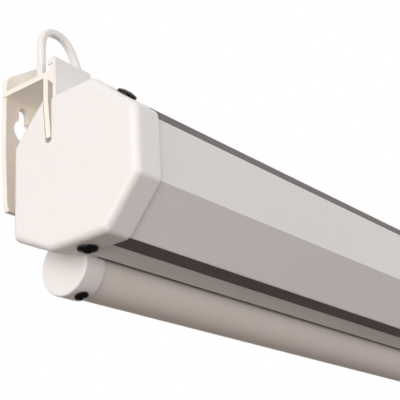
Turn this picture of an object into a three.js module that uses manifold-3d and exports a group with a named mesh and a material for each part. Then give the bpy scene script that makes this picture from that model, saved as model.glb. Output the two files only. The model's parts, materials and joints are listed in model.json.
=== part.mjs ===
// Pull down projector screen, in millimetres.
// X runs along the case, +Y points to the wall and +Z points up. The origin lies on the wall,
// halfway between the two wall plates, at the height of the fixing screws.
// The pieces are drawn in a section frame: X = 0 at mid length, y = 0 at mid depth of the case,
// z = 0 just under the case. One outer group moves them to the wall.

import * as THREE from 'three';
import { mergeVertices } from 'three/addons/utils/BufferGeometryUtils.js';
import Module from 'manifold-3d';

const wasm = await Module();
wasm.setup();

// Clearances and cutting
const fitGap = 0.3;
const runningGap = 0.5;
const cutOverrun = 4;
const mergeTolerance = 0.0001;

// End face outline, an eight-cornered section
const overallLength = 1900;
const faceHeight = 82.8;
const faceBottomZ = 1.6;
const faceHalfDepth = 41;
const topFrontY = -13;
const topRearY = 21;
const bottomFrontY = -20.4;
const bottomRearY = 16.5;
const frontUpperZ = 58.5;
const frontLowerZ = 24.7;
const rearUpperZ = 62.5;
const rearLowerZ = 13;

// End caps
const capDepth = 17.5;
const capEdgeRound = 2.6;
const capCornerRound = 5;
const capFaceRound = 4.2;
const capEndWall = 5;
const capProud = 1.6;
const spigotLength = 12;
const spigotWall = 2;
const spigotBarWindowZ = 26;
const spigotBarWindowY = 6;
const scallopDepth = 11.5;
const scallopWidth = 12.5;
const scallopHeight = 10;

// Slot in the cap for the bracket's tongue
const hangSlotFrontY = 13.8;
const hangSlotTopWidth = 6.7;
const hangSlotBottomWidth = 4.6;
const hangSlotBottomZ = 57.5;
const hangSlotDepth = 12;
const hangBossWall = 3;

// Case profile
const caseWall = 2.4;
const caseSlotFrontY = 10.4;
const caseRearLipZ = 19;
const facetBaseZ = 57.7;
const facetRise = 7.6;
const facetSetback = 4.2;
const trimThickness = 0.9;
const lowerTrimFrontInset = 0.6;
const lowerTrimRearY = -7.5;

// Roller, fabric and spring
const rollerRadius = 20;
const rollerWall = 1.5;
const rollerEndInset = 24;
const rollerAxisZ = 45;
const fabricInset = 60;
const fabricThickness = 0.5;
const rollThickness = 3.7;
const plugFlangeThickness = 3;
const plugLength = 20;
const shaftRadius = 3.5;
const spearThickness = 3;
const spearWidth = 9;
const spearLength = 15;
const springOuterRadius = 10.5;
const springWire = 2.5;
const springLength = 236;
const springCollarLength = 10;
const springCollarRadius = 11;
const steadyLength = 10;
const steadyInset = 2;
const steadyGap = 5;
const hubRadius = 7.5;
const hubNotchDepth = 2.2;
const hubNotchWidth = 7;
const pawlPinRadius = 1.5;
const pawlPivotRadius = 12.6;
const pawlArm = 8;
const pawlNose = 3.2;
const pawlThickness = 5;
const pawlHeight = 4.4;
const idlerPinRadius = 4;
const bushWall = 1.6;
const bushFlange = 2;

// Bearing plates and their screws
const plateThickness = 2;
const plateHalfWidth = 24;
const plateHalfHeight = 9;
const plateScrewReach = 18;
const plateScrewHeadRadius = 3.5;
const plateScrewHeadHeight = 1.9;
const plateScrewShankRadius = 1.5;
const plateScrewBite = 2.6;

// Weight bar
const barRadius = 15.2;
const barWall = 1.4;
const barSlit = 2.4;
const barCentreZ = -1.3;
const barCapRadius = 16.4;
const barCapLength = 14;
const barCapWall = 2.5;
const barCapRound = 1.1;
const barEndGap = 4;
const barFrontGap = 0.8;
const hemRodRadius = 2.6;
const hemEdgeGap = 0.6;

// Pull handle
const saddleLength = 44;
const saddleThickness = 2;
const saddleHalfAngle = 68;
const earThickness = 4;
const earWidth = 9;
const pivotDrop = 8;
const handlePinRadius = 2;
const handlePinHead = 3.6;
const handlePinHeadLength = 1.5;
const eyeRadius = 4.6;
const eyeLength = 8;
const gripRadius = 3;
const gripHalfWidth = 46;
const gripDrop = 44;
const gripShoulderDrop = 12;

// Visible screws of the cap and the bar
const capScrewHeadRadius = 5.5;
const capScrewHeadHeight = 2.4;
const capScrewShankRadius = 2.4;
const capScrewShankLength = 4.6;
const capScrewInset = 13.5;
const topScrewShare = 0.43;
const bottomScrewInset = 11;
const bottomScrewY = 0;
const barScrewHeadRadius = 3.8;
const barScrewHeadHeight = 1.7;
const barScrewShankRadius = 1.4;
const barScrewShankLength = 4;
const barScrewInset = 7.5;
const barScrewAngle = 252;
const crossWidthShare = 0.24;
const crossLengthShare = 1.2;
const crossDepthShare = 0.45;
const headRimShare = 0.35;
const headShoulderShare = 0.82;
const headShoulderWidthShare = 0.8;
const headCrownWidthShare = 0.4;

// Wall plate of the bracket
const wallPlateFrontY = 50;
const wallPlateThickness = 3.5;
const wallPlateInset = 1;
const wallPlateWidth = 25;
const wallPlateBottomZ = 30.4;
const wallPlateWaistZ = 63;
const wallPlateShoulderRise = 20.8;
const wallPlateTopRise = 40.4;
const wallPlateFootWidth = 19;
const keyholeX = 13.5;
const keyholeDrop = 2.8;
const keyholeRadius = 6.8;
const keyholeSlotWidth = 6.6;
const keyholeSlotRise = 11.2;

// Shelf of the wall bracket, with its hook, tongue and crossbar
const shelfLength = 26;
const shelfRise = 17.2;
const shelfThickness = 3.1;
const hookThickness = 2.5;
const hookSlope = 5.7;
const tongueThickness = 3.4;
const tongueSeatGap = 1;
const crossbarEnd = 2.25;
const crossbarFrontY = 20.8;

// Hoop above the shelf
const hoopWireRadius = 2.2;
const hoopPlaneY = 24;
const hoopLeftInset = 2.5;
const hoopSpan = 29.4;
const hoopTopRise = 50.2;
const hoopRise = 12;
const hoopPeakShare = 0.4;
const hoopRightKneeRise = 9;
const hoopShoulderShare = 0.75;
const hoopCrownShare = 0.5;
const hoopArmShare = 0.8;
const hoopArmLean = 3;

// Lug on the cap that hangs over the bracket's hook
const lugLength = 26.4;
const lugFrontY = 10.5;
const lugPlateThickness = 2.3;
const lugRise = 24.2;
const lugFlangeDepth = 6;
const lugFlangeThickness = 3.5;
const lugCaseGap = 1.5;

// Facets
const roundSteps = 32;
const smallRoundSteps = 14;
const filletSteps = 4;
const ropeSides = 8;
const hoopSteps = 26;
const gripSteps = 32;

// Derived places
const halfLength = overallLength / 2;
const capRimX = halfLength - capDepth;
const wallY = wallPlateFrontY + wallPlateThickness;
const fabricWidth = overallLength - fabricInset * 2;
const shelfTopZ = faceHeight + shelfRise;
const lugTopZ = faceHeight + lugRise;
const hoopTopZ = faceHeight + hoopTopRise;
const wallPlateShoulderZ = faceHeight + wallPlateShoulderRise;
const wallPlateTopZ = faceHeight + wallPlateTopRise;
const keyholeZ = faceHeight - keyholeDrop;
const keyholeSlotTopZ = faceHeight + keyholeSlotRise;
const hangZ = keyholeSlotTopZ - keyholeSlotWidth / 2;
const barCentreY = caseSlotFrontY + barFrontGap + barCapRadius;
const barEndX = capRimX - barEndGap;
const fabricY = barCentreY;
const rollRadius = rollerRadius + fitGap + rollThickness;
const rollerAxisY = fabricY - fabricThickness / 2 - fitGap - rollRadius;
const plateInnerX = halfLength - capEndWall - fitGap;
const rollerEndX = halfLength - rollerEndInset;
const hubCentreX = rollerEndX + fitGap + pawlThickness / 2;
const barTopZ = barCentreZ + barRadius;
const hemLoopRadius = hemRodRadius + fitGap + fabricThickness;
const hemRodZ = barCentreZ + barRadius - barWall - fitGap - hemLoopRadius;

// Materials

const whitePlastic = { color: 0xf2efea, roughness: 0.42, metalness: 0 };
const paintedAluminium = { color: 0xe2dedb, roughness: 0.35, metalness: 0.1 };
const darkTrim = { color: 0x565052, roughness: 0.45, metalness: 0.1 };
const blackSteel = { color: 0x1c1a19, roughness: 0.35, metalness: 0.8 };
const bareSteel = { color: 0xa9aaad, roughness: 0.35, metalness: 0.9 };
const greyPlastic = { color: 0x8b8a88, roughness: 0.55, metalness: 0 };
const whiteFabric = { color: 0xf4f3f0, roughness: 0.9, metalness: 0 };

// Solids from closed geometry, for cuts and joins

function solid(geometry) {
  const bare = geometry.clone();
  bare.deleteAttribute('normal');
  bare.deleteAttribute('uv');
  const merged = mergeVertices(bare, mergeTolerance);
  const vertProperties = new Float32Array(merged.attributes.position.array);
  const triVerts = new Uint32Array(merged.index.array);
  return new wasm.Manifold(new wasm.Mesh({ numProp: 3, vertProperties, triVerts }));
}

function geometryOf(body) {
  const data = body.getMesh();
  const geometry = new THREE.BufferGeometry();
  geometry.setAttribute('position', new THREE.BufferAttribute(new Float32Array(data.vertProperties), 3));
  geometry.setIndex(new THREE.BufferAttribute(new Uint32Array(data.triVerts), 1));
  geometry.computeVertexNormals();
  return geometry;
}

function joined(...geometries) {
  return geometries.map(solid).reduce((whole, next) => whole.add(next));
}

function cutFrom(body, ...geometries) {
  return geometries.map(solid).reduce((whole, next) => whole.subtract(next), body);
}

function mirroredInX(geometry) {
  const copy = mergeVertices(geometry.clone());
  copy.scale(-1, 1, 1);
  const index = copy.index.array;
  for (let i = 0; i < index.length; i += 3) {
    const keep = index[i];
    index[i] = index[i + 1];
    index[i + 1] = keep;
  }
  copy.computeVertexNormals();
  return copy;
}

// Outlines in the (y, z) section plane

function point(y, z) {
  return new THREE.Vector2(y, z);
}

function grown(outline, distance) {
  const count = outline.length;
  const lines = outline.map((from, i) => {
    const along = outline[(i + 1) % count].clone().sub(from).normalize();
    const out = point(along.y, -along.x);
    return { from: from.clone().addScaledVector(out, distance), along };
  });
  return lines.map((line, i) => {
    const before = lines[(i + count - 1) % count];
    const cross = before.along.x * line.along.y - before.along.y * line.along.x;
    const step = line.from.clone().sub(before.from);
    const t = (step.x * line.along.y - step.y * line.along.x) / cross;
    return before.from.clone().addScaledVector(before.along, t);
  });
}

function filleted(outline, radius) {
  const count = outline.length;
  const points = [];
  outline.forEach((corner, i) => {
    const before = outline[(i + count - 1) % count].clone().sub(corner).normalize();
    const after = outline[(i + 1) % count].clone().sub(corner).normalize();
    const half = Math.acos(before.dot(after)) / 2;
    const reach = radius / Math.tan(half);
    const start = corner.clone().addScaledVector(before, reach);
    const end = corner.clone().addScaledVector(after, reach);
    for (let step = 0; step <= filletSteps; step += 1) {
      const t = step / filletSteps;
      const a = start.clone().lerp(corner, t);
      const b = corner.clone().lerp(end, t);
      points.push(a.lerp(b, t));
    }
  });
  return points;
}

function arcPoints(centreY, centreZ, radius, fromDegrees, toDegrees, steps) {
  const points = [];
  for (let i = 0; i <= steps; i += 1) {
    const angle = THREE.MathUtils.degToRad(fromDegrees + (toDegrees - fromDegrees) * (i / steps));
    points.push(point(centreY + radius * Math.cos(angle), centreZ + radius * Math.sin(angle)));
  }
  return points;
}

function circleShape(centreY, centreZ, radius, steps) {
  return new THREE.Shape(arcPoints(centreY, centreZ, radius, 0, 360, steps).slice(0, steps));
}

function ringShape(centreY, centreZ, outer, inner, steps) {
  const shape = circleShape(centreY, centreZ, outer, steps);
  shape.holes.push(new THREE.Path(arcPoints(centreY, centreZ, inner, 360, 0, steps).slice(0, steps)));
  return shape;
}

// Extrusions: along X from a (y, z) outline, and along Y from an (x, z) outline

const alongX = new THREE.Matrix4().makeBasis(
  new THREE.Vector3(0, 1, 0),
  new THREE.Vector3(0, 0, 1),
  new THREE.Vector3(1, 0, 0),
);
const alongY = new THREE.Matrix4().makeBasis(
  new THREE.Vector3(-1, 0, 0),
  new THREE.Vector3(0, 0, 1),
  new THREE.Vector3(0, 1, 0),
);

function runX(shape, fromX, toX) {
  const geometry = new THREE.ExtrudeGeometry(shape, {
    depth: toX - fromX,
    bevelEnabled: false,
    curveSegments: smallRoundSteps,
  });
  geometry.applyMatrix4(alongX);
  geometry.translate(fromX, 0, 0);
  return geometry;
}

function runY(outline, fromY, toY) {
  const flipped = outline.map((p) => new THREE.Vector2(-p.x, p.y));
  const shape = new THREE.Shape(flipped);
  const geometry = new THREE.ExtrudeGeometry(shape, { depth: toY - fromY, bevelEnabled: false });
  geometry.applyMatrix4(alongY);
  geometry.translate(0, fromY, 0);
  return geometry;
}

function block(fromX, toX, fromY, toY, fromZ, toZ) {
  const geometry = new THREE.BoxGeometry(toX - fromX, toY - fromY, toZ - fromZ);
  geometry.translate((fromX + toX) / 2, (fromY + toY) / 2, (fromZ + toZ) / 2);
  return geometry;
}

function rodX(centreY, centreZ, radius, fromX, toX, steps) {
  return runX(circleShape(centreY, centreZ, radius, steps), fromX, toX);
}

const upY = new THREE.Vector3(0, 1, 0);

// A pan-headed screw with a cross recess, its seat at the given place and its head towards `out`

function screwAt(place, out, headRadius, headHeight, shankRadius, shankLength) {
  const profile = [
    point(0, -shankLength),
    point(shankRadius, -shankLength),
    point(shankRadius, 0),
    point(headRadius, 0),
    point(headRadius, headHeight * headRimShare),
    point(headRadius * headShoulderWidthShare, headHeight * headShoulderShare),
    point(headRadius * headCrownWidthShare, headHeight),
    point(0, headHeight),
  ];
  const body = solid(new THREE.LatheGeometry(profile, smallRoundSteps));
  const barb = headRadius * crossWidthShare;
  const reach = headRadius * crossLengthShare;
  const depth = headHeight * crossDepthShare;
  const cuts = [];
  for (const turn of [0, 90]) {
    const cut = new THREE.BoxGeometry(barb, depth * 2, reach);
    cut.rotateY(THREE.MathUtils.degToRad(turn));
    cut.translate(0, headHeight, 0);
    cuts.push(cut);
  }
  const geometry = geometryOf(cutFrom(body, ...cuts));
  const toOut = new THREE.Quaternion().setFromUnitVectors(upY, out.clone().normalize());
  geometry.applyQuaternion(toOut);
  geometry.translate(place.x, place.y, place.z);
  return geometry;
}

function screwHole(place, out, radius, depth) {
  const geometry = new THREE.CylinderGeometry(radius, radius, depth * 2, smallRoundSteps);
  const toOut = new THREE.Quaternion().setFromUnitVectors(upY, out.clone().normalize());
  geometry.applyQuaternion(toOut);
  geometry.translate(place.x, place.y, place.z);
  return geometry;
}

// Section outlines shared by cap and case, counter-clockwise in (y, z)

const faceOutline = [
  point(bottomFrontY, faceBottomZ),
  point(bottomRearY, faceBottomZ),
  point(faceHalfDepth, rearLowerZ),
  point(faceHalfDepth, rearUpperZ),
  point(topRearY, faceHeight),
  point(topFrontY, faceHeight),
  point(-faceHalfDepth, frontUpperZ),
  point(-faceHalfDepth, frontLowerZ),
];
const capOutline = filleted(grown(faceOutline, capEdgeRound), capCornerRound);
const caseGrowth = capEdgeRound - capProud;
const caseCorners = grown(faceOutline, caseGrowth);
const caseFrontY = -faceHalfDepth - caseGrowth;
const caseBottomZ = faceBottomZ - caseGrowth;
const caseFrontUpper = 6;
const caseOutline = [
  ...caseCorners.slice(0, caseFrontUpper),
  point(caseFrontY + facetSetback, facetBaseZ + facetRise),
  point(caseFrontY, facetBaseZ),
  caseCorners[caseFrontUpper + 1],
];
const caseInnerOutline = grown(faceOutline, caseGrowth - caseWall);
const spigotOutline = grown(faceOutline, caseGrowth - caseWall - fitGap);
const cavityOutline = grown(faceOutline, caseGrowth - caseWall - fitGap - spigotWall);

// Cap, drawn for the left end; the right one is its mirror image

const capChamferTop = point(topFrontY, faceHeight);
const capChamferFoot = point(-faceHalfDepth, frontUpperZ);
const chamferRun = capChamferFoot.clone().sub(capChamferTop);
const chamferOut = point(chamferRun.y, -chamferRun.x).normalize();
const topScrewSpot = capChamferTop.clone()
  .addScaledVector(chamferRun, topScrewShare)
  .addScaledVector(chamferOut, capEdgeRound + fitGap);
const topScrewPlace = new THREE.Vector3(-halfLength + capScrewInset, topScrewSpot.x, topScrewSpot.y);
const topScrewOut = new THREE.Vector3(0, chamferOut.x, chamferOut.y);
const bottomScrewPlace = new THREE.Vector3(
  -halfLength + bottomScrewInset,
  bottomScrewY,
  faceBottomZ - capEdgeRound - fitGap,
);
const bottomScrewOut = new THREE.Vector3(0, 0, -1);

const plateScrewPlaces = [-1, 1].map((side) => new THREE.Vector3(
  -plateInnerX + plateThickness + fitGap,
  rollerAxisY + side * plateScrewReach,
  rollerAxisZ,
));
const plateScrewOut = new THREE.Vector3(1, 0, 0);

const hangSlotRearTopY = hangSlotFrontY + hangSlotTopWidth;
const hangSlotRearBottomY = hangSlotFrontY + hangSlotBottomWidth;

function hangSlotOutline() {
  const round = hangSlotBottomWidth / 2;
  const foot = arcPoints(hangSlotFrontY + round, hangSlotBottomZ + round, round, 180, 360, filletSteps * 2);
  return [
    ...foot,
    point(hangSlotRearTopY, faceHeight),
    point(hangSlotRearTopY, faceHeight + capEdgeRound + cutOverrun),
    point(hangSlotFrontY, faceHeight + capEdgeRound + cutOverrun),
  ];
}

function lugShape() {
  const bottomZ = faceHeight + caseGrowth + lugCaseGap;
  const flangeZ = lugTopZ - lugFlangeThickness;
  return new THREE.Shape([
    point(lugFrontY, bottomZ),
    point(lugFrontY + lugPlateThickness, bottomZ),
    point(lugFrontY + lugPlateThickness, flangeZ),
    point(lugFrontY + lugFlangeDepth, flangeZ),
    point(lugFrontY + lugFlangeDepth, lugTopZ - lugFlangeThickness / 2),
    point(lugFrontY + lugFlangeDepth - lugFlangeThickness / 2, lugTopZ),
    point(lugFrontY + lugPlateThickness / 2, lugTopZ),
    point(lugFrontY, lugTopZ - lugPlateThickness / 2),
  ]);
}

function scallop() {
  const innerX = -halfLength + capDepth - scallopDepth;
  const outline = [];
  for (let i = 0; i <= filletSteps * 3; i += 1) {
    const angle = (Math.PI / 2) * (i / (filletSteps * 3));
    const y = bottomRearY - scallopWidth + scallopWidth * Math.cos(angle);
    outline.push([innerX + scallopDepth * Math.sin(angle), y]);
  }
  const rimX = -halfLength + capDepth + cutOverrun;
  const farY = faceHalfDepth + cutOverrun;
  outline.push([rimX, bottomRearY - scallopWidth], [rimX, farY], [innerX, farY]);
  const shape = new THREE.Shape(outline.map(([x, y]) => new THREE.Vector2(x, y)));
  const height = scallopHeight + capEdgeRound + cutOverrun;
  const geometry = new THREE.ExtrudeGeometry(shape, { depth: height, bevelEnabled: false });
  geometry.translate(0, 0, scallopHeight - height);
  return geometry;
}

function endCap() {
  const face = new THREE.ExtrudeGeometry(new THREE.Shape(capOutline), {
    depth: capDepth + cutOverrun,
    bevelEnabled: true,
    bevelThickness: capFaceRound,
    bevelSize: capFaceRound,
    bevelOffset: -capFaceRound,
    bevelSegments: filletSteps,
  });
  face.applyMatrix4(alongX);
  face.translate(-halfLength + capFaceRound, 0, 0);
  const wide = faceHeight * 2;
  const beyondRim = block(-halfLength + capDepth, 0, -wide, wide, -wide, wide);
  const lugRoot = block(
    -halfLength,
    -capRimX,
    lugFrontY,
    lugFrontY + lugPlateThickness,
    faceHeight,
    faceHeight + capEdgeRound + lugCaseGap,
  );
  const lug = runX(lugShape(), -halfLength, -halfLength + lugLength);
  const cavity = runX(new THREE.Shape(cavityOutline), -halfLength + capEndWall, 0);
  const spigot = runX(new THREE.Shape(spigotOutline), -halfLength + capEndWall, -capRimX + spigotLength);
  const boss = block(
    -halfLength + capEndWall / 2,
    -halfLength + hangSlotDepth + hangBossWall,
    hangSlotFrontY - hangBossWall,
    hangSlotRearTopY + hangBossWall,
    hangSlotBottomZ - hangBossWall,
    faceHeight,
  );
  const slot = runX(
    new THREE.Shape(hangSlotOutline()),
    -halfLength - cutOverrun,
    -halfLength + hangSlotDepth,
  );
  const barWindow = block(
    -capRimX,
    -capRimX + spigotLength + cutOverrun,
    spigotBarWindowY,
    wide,
    -wide,
    spigotBarWindowZ,
  );
  let body = cutFrom(solid(face), beyondRim).add(solid(spigot)).add(solid(lugRoot)).add(solid(lug));
  body = cutFrom(body, cavity).add(solid(boss));
  body = cutFrom(body, slot, barWindow, scallop());
  const shankGap = fitGap;
  const skirt = capScrewShankLength + fitGap * 2;
  body = cutFrom(
    body,
    screwHole(topScrewPlace, topScrewOut, capScrewShankRadius + shankGap, skirt),
    screwHole(bottomScrewPlace, bottomScrewOut, capScrewShankRadius + shankGap, skirt),
    ...plateScrewPlaces.map((place) => screwHole(
      place,
      plateScrewOut,
      plateScrewShankRadius + shankGap,
      plateThickness + plateScrewBite + fitGap * 3,
    )),
  );
  return geometryOf(body);
}

// Case profile with its two inlaid trim strips

const caseEndX = capRimX - fitGap;
const trimRecess = trimThickness + fitGap;
const lowerTrimFrontY = bottomFrontY + lowerTrimFrontInset;

function facetStrip(outer, inner, trimEnds) {
  const foot = point(caseFrontY, facetBaseZ);
  const head = point(caseFrontY + facetSetback, facetBaseZ + facetRise);
  const along = head.clone().sub(foot).normalize();
  const out = point(-along.y, along.x);
  const shift = (base, ends, away) => base.clone().addScaledVector(along, ends).addScaledVector(out, away);
  return new THREE.Shape([
    shift(foot, trimEnds, inner),
    shift(head, -trimEnds, inner),
    shift(head, -trimEnds, outer),
    shift(foot, trimEnds, outer),
  ]);
}

function caseProfile() {
  const wide = faceHeight * 2;
  const outer = runX(new THREE.Shape(caseOutline), -caseEndX, caseEndX);
  const inner = runX(new THREE.Shape(caseInnerOutline), -caseEndX - cutOverrun, caseEndX + cutOverrun);
  const window = block(-halfLength, halfLength, caseSlotFrontY, wide, -wide, caseRearLipZ);
  const lowerGroove = block(
    -halfLength,
    halfLength,
    lowerTrimFrontY - fitGap,
    lowerTrimRearY + fitGap,
    -wide,
    caseBottomZ + trimRecess,
  );
  const upperGroove = runX(facetStrip(cutOverrun, -trimRecess, fitGap), -halfLength, halfLength);
  return geometryOf(cutFrom(solid(outer), inner, window, lowerGroove, upperGroove));
}

function lowerTrimStrip() {
  return block(
    -caseEndX,
    caseEndX,
    lowerTrimFrontY,
    lowerTrimRearY,
    caseBottomZ,
    caseBottomZ + trimThickness,
  );
}

function upperTrimStrip() {
  return runX(facetStrip(0, -trimThickness, fitGap * 2), -caseEndX, caseEndX);
}

// Bearing plates, spring side on the left and idler side on the right

function bearingPlate(hole) {
  const body = solid(block(
    -plateInnerX,
    -plateInnerX + plateThickness,
    rollerAxisY - plateHalfWidth,
    rollerAxisY + plateHalfWidth,
    rollerAxisZ - plateHalfHeight,
    rollerAxisZ + plateHalfHeight,
  ));
  const screwHoles = plateScrewPlaces.map((place) => screwHole(
    place,
    plateScrewOut,
    plateScrewShankRadius + fitGap,
    plateThickness * 2,
  ));
  return geometryOf(cutFrom(body, hole, ...screwHoles));
}

function springEndPlate() {
  const half = plateThickness + cutOverrun;
  return bearingPlate(block(
    -plateInnerX - half,
    -plateInnerX + half,
    rollerAxisY - spearWidth / 2 - fitGap,
    rollerAxisY + spearWidth / 2 + fitGap,
    rollerAxisZ - spearThickness / 2 - fitGap,
    rollerAxisZ + spearThickness / 2 + fitGap,
  ));
}

const bushRadius = idlerPinRadius + fitGap + bushWall;

function idlerEndPlate() {
  const half = plateThickness + cutOverrun;
  const hole = rodX(
    rollerAxisY,
    rollerAxisZ,
    bushRadius + fitGap,
    -plateInnerX - half,
    -plateInnerX + half,
    roundSteps,
  );
  return mirroredInX(bearingPlate(hole));
}

function idlerBush() {
  const from = plateInnerX - plateThickness;
  const barrel = runX(
    ringShape(rollerAxisY, rollerAxisZ, bushRadius, idlerPinRadius + fitGap, roundSteps),
    from - bushFlange,
    plateInnerX,
  );
  const flange = runX(
    ringShape(rollerAxisY, rollerAxisZ, bushRadius + bushFlange, idlerPinRadius + fitGap, roundSteps),
    from - fitGap - bushFlange,
    from - fitGap,
  );
  return geometryOf(joined(barrel, flange));
}

function plateScrew(place) {
  return screwAt(
    place,
    plateScrewOut,
    plateScrewHeadRadius,
    plateScrewHeadHeight,
    plateScrewShankRadius,
    plateThickness + plateScrewBite,
  );
}

// Fixed shaft with flat spear, spring and ratchet hub

const shaftFromX = -plateInnerX + plateThickness + runningGap;
const plugFlangeX = -rollerEndX;
const springFromX = plugFlangeX + plugLength + runningGap;
const springToX = springFromX + springLength;
const steadyFromX = springToX + fitGap + springCollarLength + steadyGap;
const shaftToX = steadyFromX + steadyLength + steadyInset;

function springShaft() {
  const rod = rodX(rollerAxisY, rollerAxisZ, shaftRadius, shaftFromX, shaftToX, smallRoundSteps);
  const spear = block(
    shaftFromX - plateThickness - runningGap + fitGap,
    shaftFromX + spearLength,
    rollerAxisY - spearWidth / 2,
    rollerAxisY + spearWidth / 2,
    rollerAxisZ - spearThickness / 2,
    rollerAxisZ + spearThickness / 2,
  );
  return geometryOf(joined(rod, spear));
}

function torsionSpring() {
  return runX(
    ringShape(rollerAxisY, rollerAxisZ, springOuterRadius, springOuterRadius - springWire, roundSteps),
    springFromX,
    springToX,
  );
}

function springCollar() {
  const from = springToX + fitGap;
  return runX(
    ringShape(rollerAxisY, rollerAxisZ, springCollarRadius, shaftRadius + fitGap, roundSteps),
    from,
    from + springCollarLength,
  );
}

function ratchetHub() {
  const from = -hubCentreX - pawlThickness / 2;
  const to = -hubCentreX + pawlThickness / 2;
  const disc = solid(rodX(rollerAxisY, rollerAxisZ, hubRadius, from, to, roundSteps));
  const cuts = [-1, 1].map((side) => {
    const centreZ = rollerAxisZ + side * (hubRadius - hubNotchDepth / 2 + cutOverrun / 2);
    const half = (hubNotchDepth + cutOverrun) / 2;
    return block(
      from - cutOverrun,
      to + cutOverrun,
      rollerAxisY - hubNotchWidth / 2,
      rollerAxisY + hubNotchWidth / 2,
      centreZ - half,
      centreZ + half,
    );
  });
  const bore = rodX(
    rollerAxisY,
    rollerAxisZ,
    shaftRadius + fitGap,
    from - cutOverrun,
    to + cutOverrun,
    smallRoundSteps,
  );
  const keyway = block(
    from - cutOverrun,
    to + cutOverrun,
    rollerAxisY - spearWidth / 2 - fitGap,
    rollerAxisY + spearWidth / 2 + fitGap,
    rollerAxisZ - spearThickness / 2 - fitGap,
    rollerAxisZ + spearThickness / 2 + fitGap,
  );
  return geometryOf(cutFrom(disc, ...cuts, bore, keyway));
}

// Roller with its plugs, pawls and the fabric wound on it

function rollerTube() {
  return runX(
    ringShape(rollerAxisY, rollerAxisZ, rollerRadius, rollerRadius - rollerWall, roundSteps),
    -rollerEndX + plugFlangeThickness + fitGap,
    rollerEndX - plugFlangeThickness - fitGap,
  );
}

const plugRadius = rollerRadius - rollerWall - fitGap;
const pawlPinLength = pawlThickness + runningGap;

function ratchetPlug() {
  const flange = rodX(
    rollerAxisY,
    rollerAxisZ,
    rollerRadius,
    plugFlangeX,
    plugFlangeX + plugFlangeThickness,
    roundSteps,
  );
  const body = rodX(
    rollerAxisY,
    rollerAxisZ,
    plugRadius,
    plugFlangeX,
    plugFlangeX + plugLength,
    roundSteps,
  );
  const bore = rodX(
    rollerAxisY,
    rollerAxisZ,
    shaftRadius + runningGap,
    plugFlangeX - cutOverrun,
    plugFlangeX + plugLength + cutOverrun,
    smallRoundSteps,
  );
  const pinHoles = pawlPivots.map(([y, z]) => rodX(
    y,
    z,
    pawlPinRadius + fitGap,
    plugFlangeX - cutOverrun,
    plugFlangeX + plugFlangeThickness * 2 + fitGap,
    smallRoundSteps,
  ));
  return geometryOf(cutFrom(joined(flange, body), bore, ...pinHoles));
}

// Each pawl pivots beside the hub and its nose swings in to a notch

const pawlPivots = [1, -1].map((side) => [
  rollerAxisY - side * pawlArm,
  rollerAxisZ + side * pawlPivotRadius,
]);

function pawlPin([y, z]) {
  return rodX(
    y,
    z,
    pawlPinRadius,
    plugFlangeX - pawlPinLength,
    plugFlangeX + plugFlangeThickness * 2,
    smallRoundSteps,
  );
}

function pawl(side) {
  const [pivotY, pivotZ] = side > 0 ? pawlPivots[0] : pawlPivots[1];
  const half = pawlHeight / 2;
  const from = plugFlangeX - fitGap - pawlThickness;
  const to = plugFlangeX - fitGap;
  const eye = rodX(pivotY, pivotZ, half + pawlPinRadius / 2, from, to, smallRoundSteps);
  const tipY = pivotY + side * pawlArm;
  const arm = block(
    from,
    to,
    Math.min(pivotY, tipY),
    Math.max(pivotY, tipY),
    pivotZ - half,
    pivotZ + half,
  );
  const noseFoot = pivotZ - side * (half + pawlNose - pawlPinRadius);
  const nose = block(
    from,
    to,
    Math.min(tipY, tipY - side * pawlNose),
    Math.max(tipY, tipY - side * pawlNose),
    Math.min(pivotZ, noseFoot),
    Math.max(pivotZ, noseFoot),
  );
  const bore = rodX(
    pivotY,
    pivotZ,
    pawlPinRadius + fitGap,
    from - cutOverrun,
    to + cutOverrun,
    smallRoundSteps,
  );
  return geometryOf(cutFrom(joined(eye, arm, nose), bore));
}

function shaftSteady() {
  const to = shaftToX - steadyInset;
  return runX(
    ringShape(rollerAxisY, rollerAxisZ, plugRadius, shaftRadius + runningGap, roundSteps),
    to - steadyLength,
    to,
  );
}

function idlerPlug() {
  const flange = rodX(
    rollerAxisY,
    rollerAxisZ,
    rollerRadius,
    rollerEndX - plugFlangeThickness,
    rollerEndX,
    roundSteps,
  );
  const body = rodX(rollerAxisY, rollerAxisZ, plugRadius, rollerEndX - plugLength, rollerEndX, roundSteps);
  const bore = rodX(
    rollerAxisY,
    rollerAxisZ,
    idlerPinRadius + fitGap,
    rollerEndX - plugLength - cutOverrun,
    rollerEndX + cutOverrun,
    smallRoundSteps,
  );
  return geometryOf(cutFrom(joined(flange, body), bore));
}

function idlerPin() {
  return rodX(
    rollerAxisY,
    rollerAxisZ,
    idlerPinRadius,
    rollerEndX - plugLength,
    plateInnerX - fitGap,
    smallRoundSteps,
  );
}

function fabricRoll() {
  return runX(
    ringShape(rollerAxisY, rollerAxisZ, rollRadius, rollerRadius + fitGap, roundSteps),
    -fabricWidth / 2,
    fabricWidth / 2,
  );
}

// Hanging fabric between the roll and the bar, and its hem inside the bar

const hemTopZ = barTopZ + hemEdgeGap;

function fabricDrop() {
  return block(
    -fabricWidth / 2,
    fabricWidth / 2,
    fabricY - fabricThickness / 2,
    fabricY + fabricThickness / 2,
    hemTopZ + fitGap,
    rollerAxisZ,
  );
}

function fabricHem() {
  const loopInner = hemRodRadius + fitGap;
  const loop = runX(
    ringShape(fabricY, hemRodZ, hemLoopRadius, loopInner, smallRoundSteps),
    -fabricWidth / 2,
    fabricWidth / 2,
  );
  const tail = block(
    -fabricWidth / 2,
    fabricWidth / 2,
    fabricY - fabricThickness / 2,
    fabricY + fabricThickness / 2,
    hemRodZ + loopInner + fabricThickness / 2,
    hemTopZ,
  );
  return geometryOf(joined(loop, tail));
}

// Weight bar

const barTubeEndX = barEndX - barCapWall - fitGap;

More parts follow.
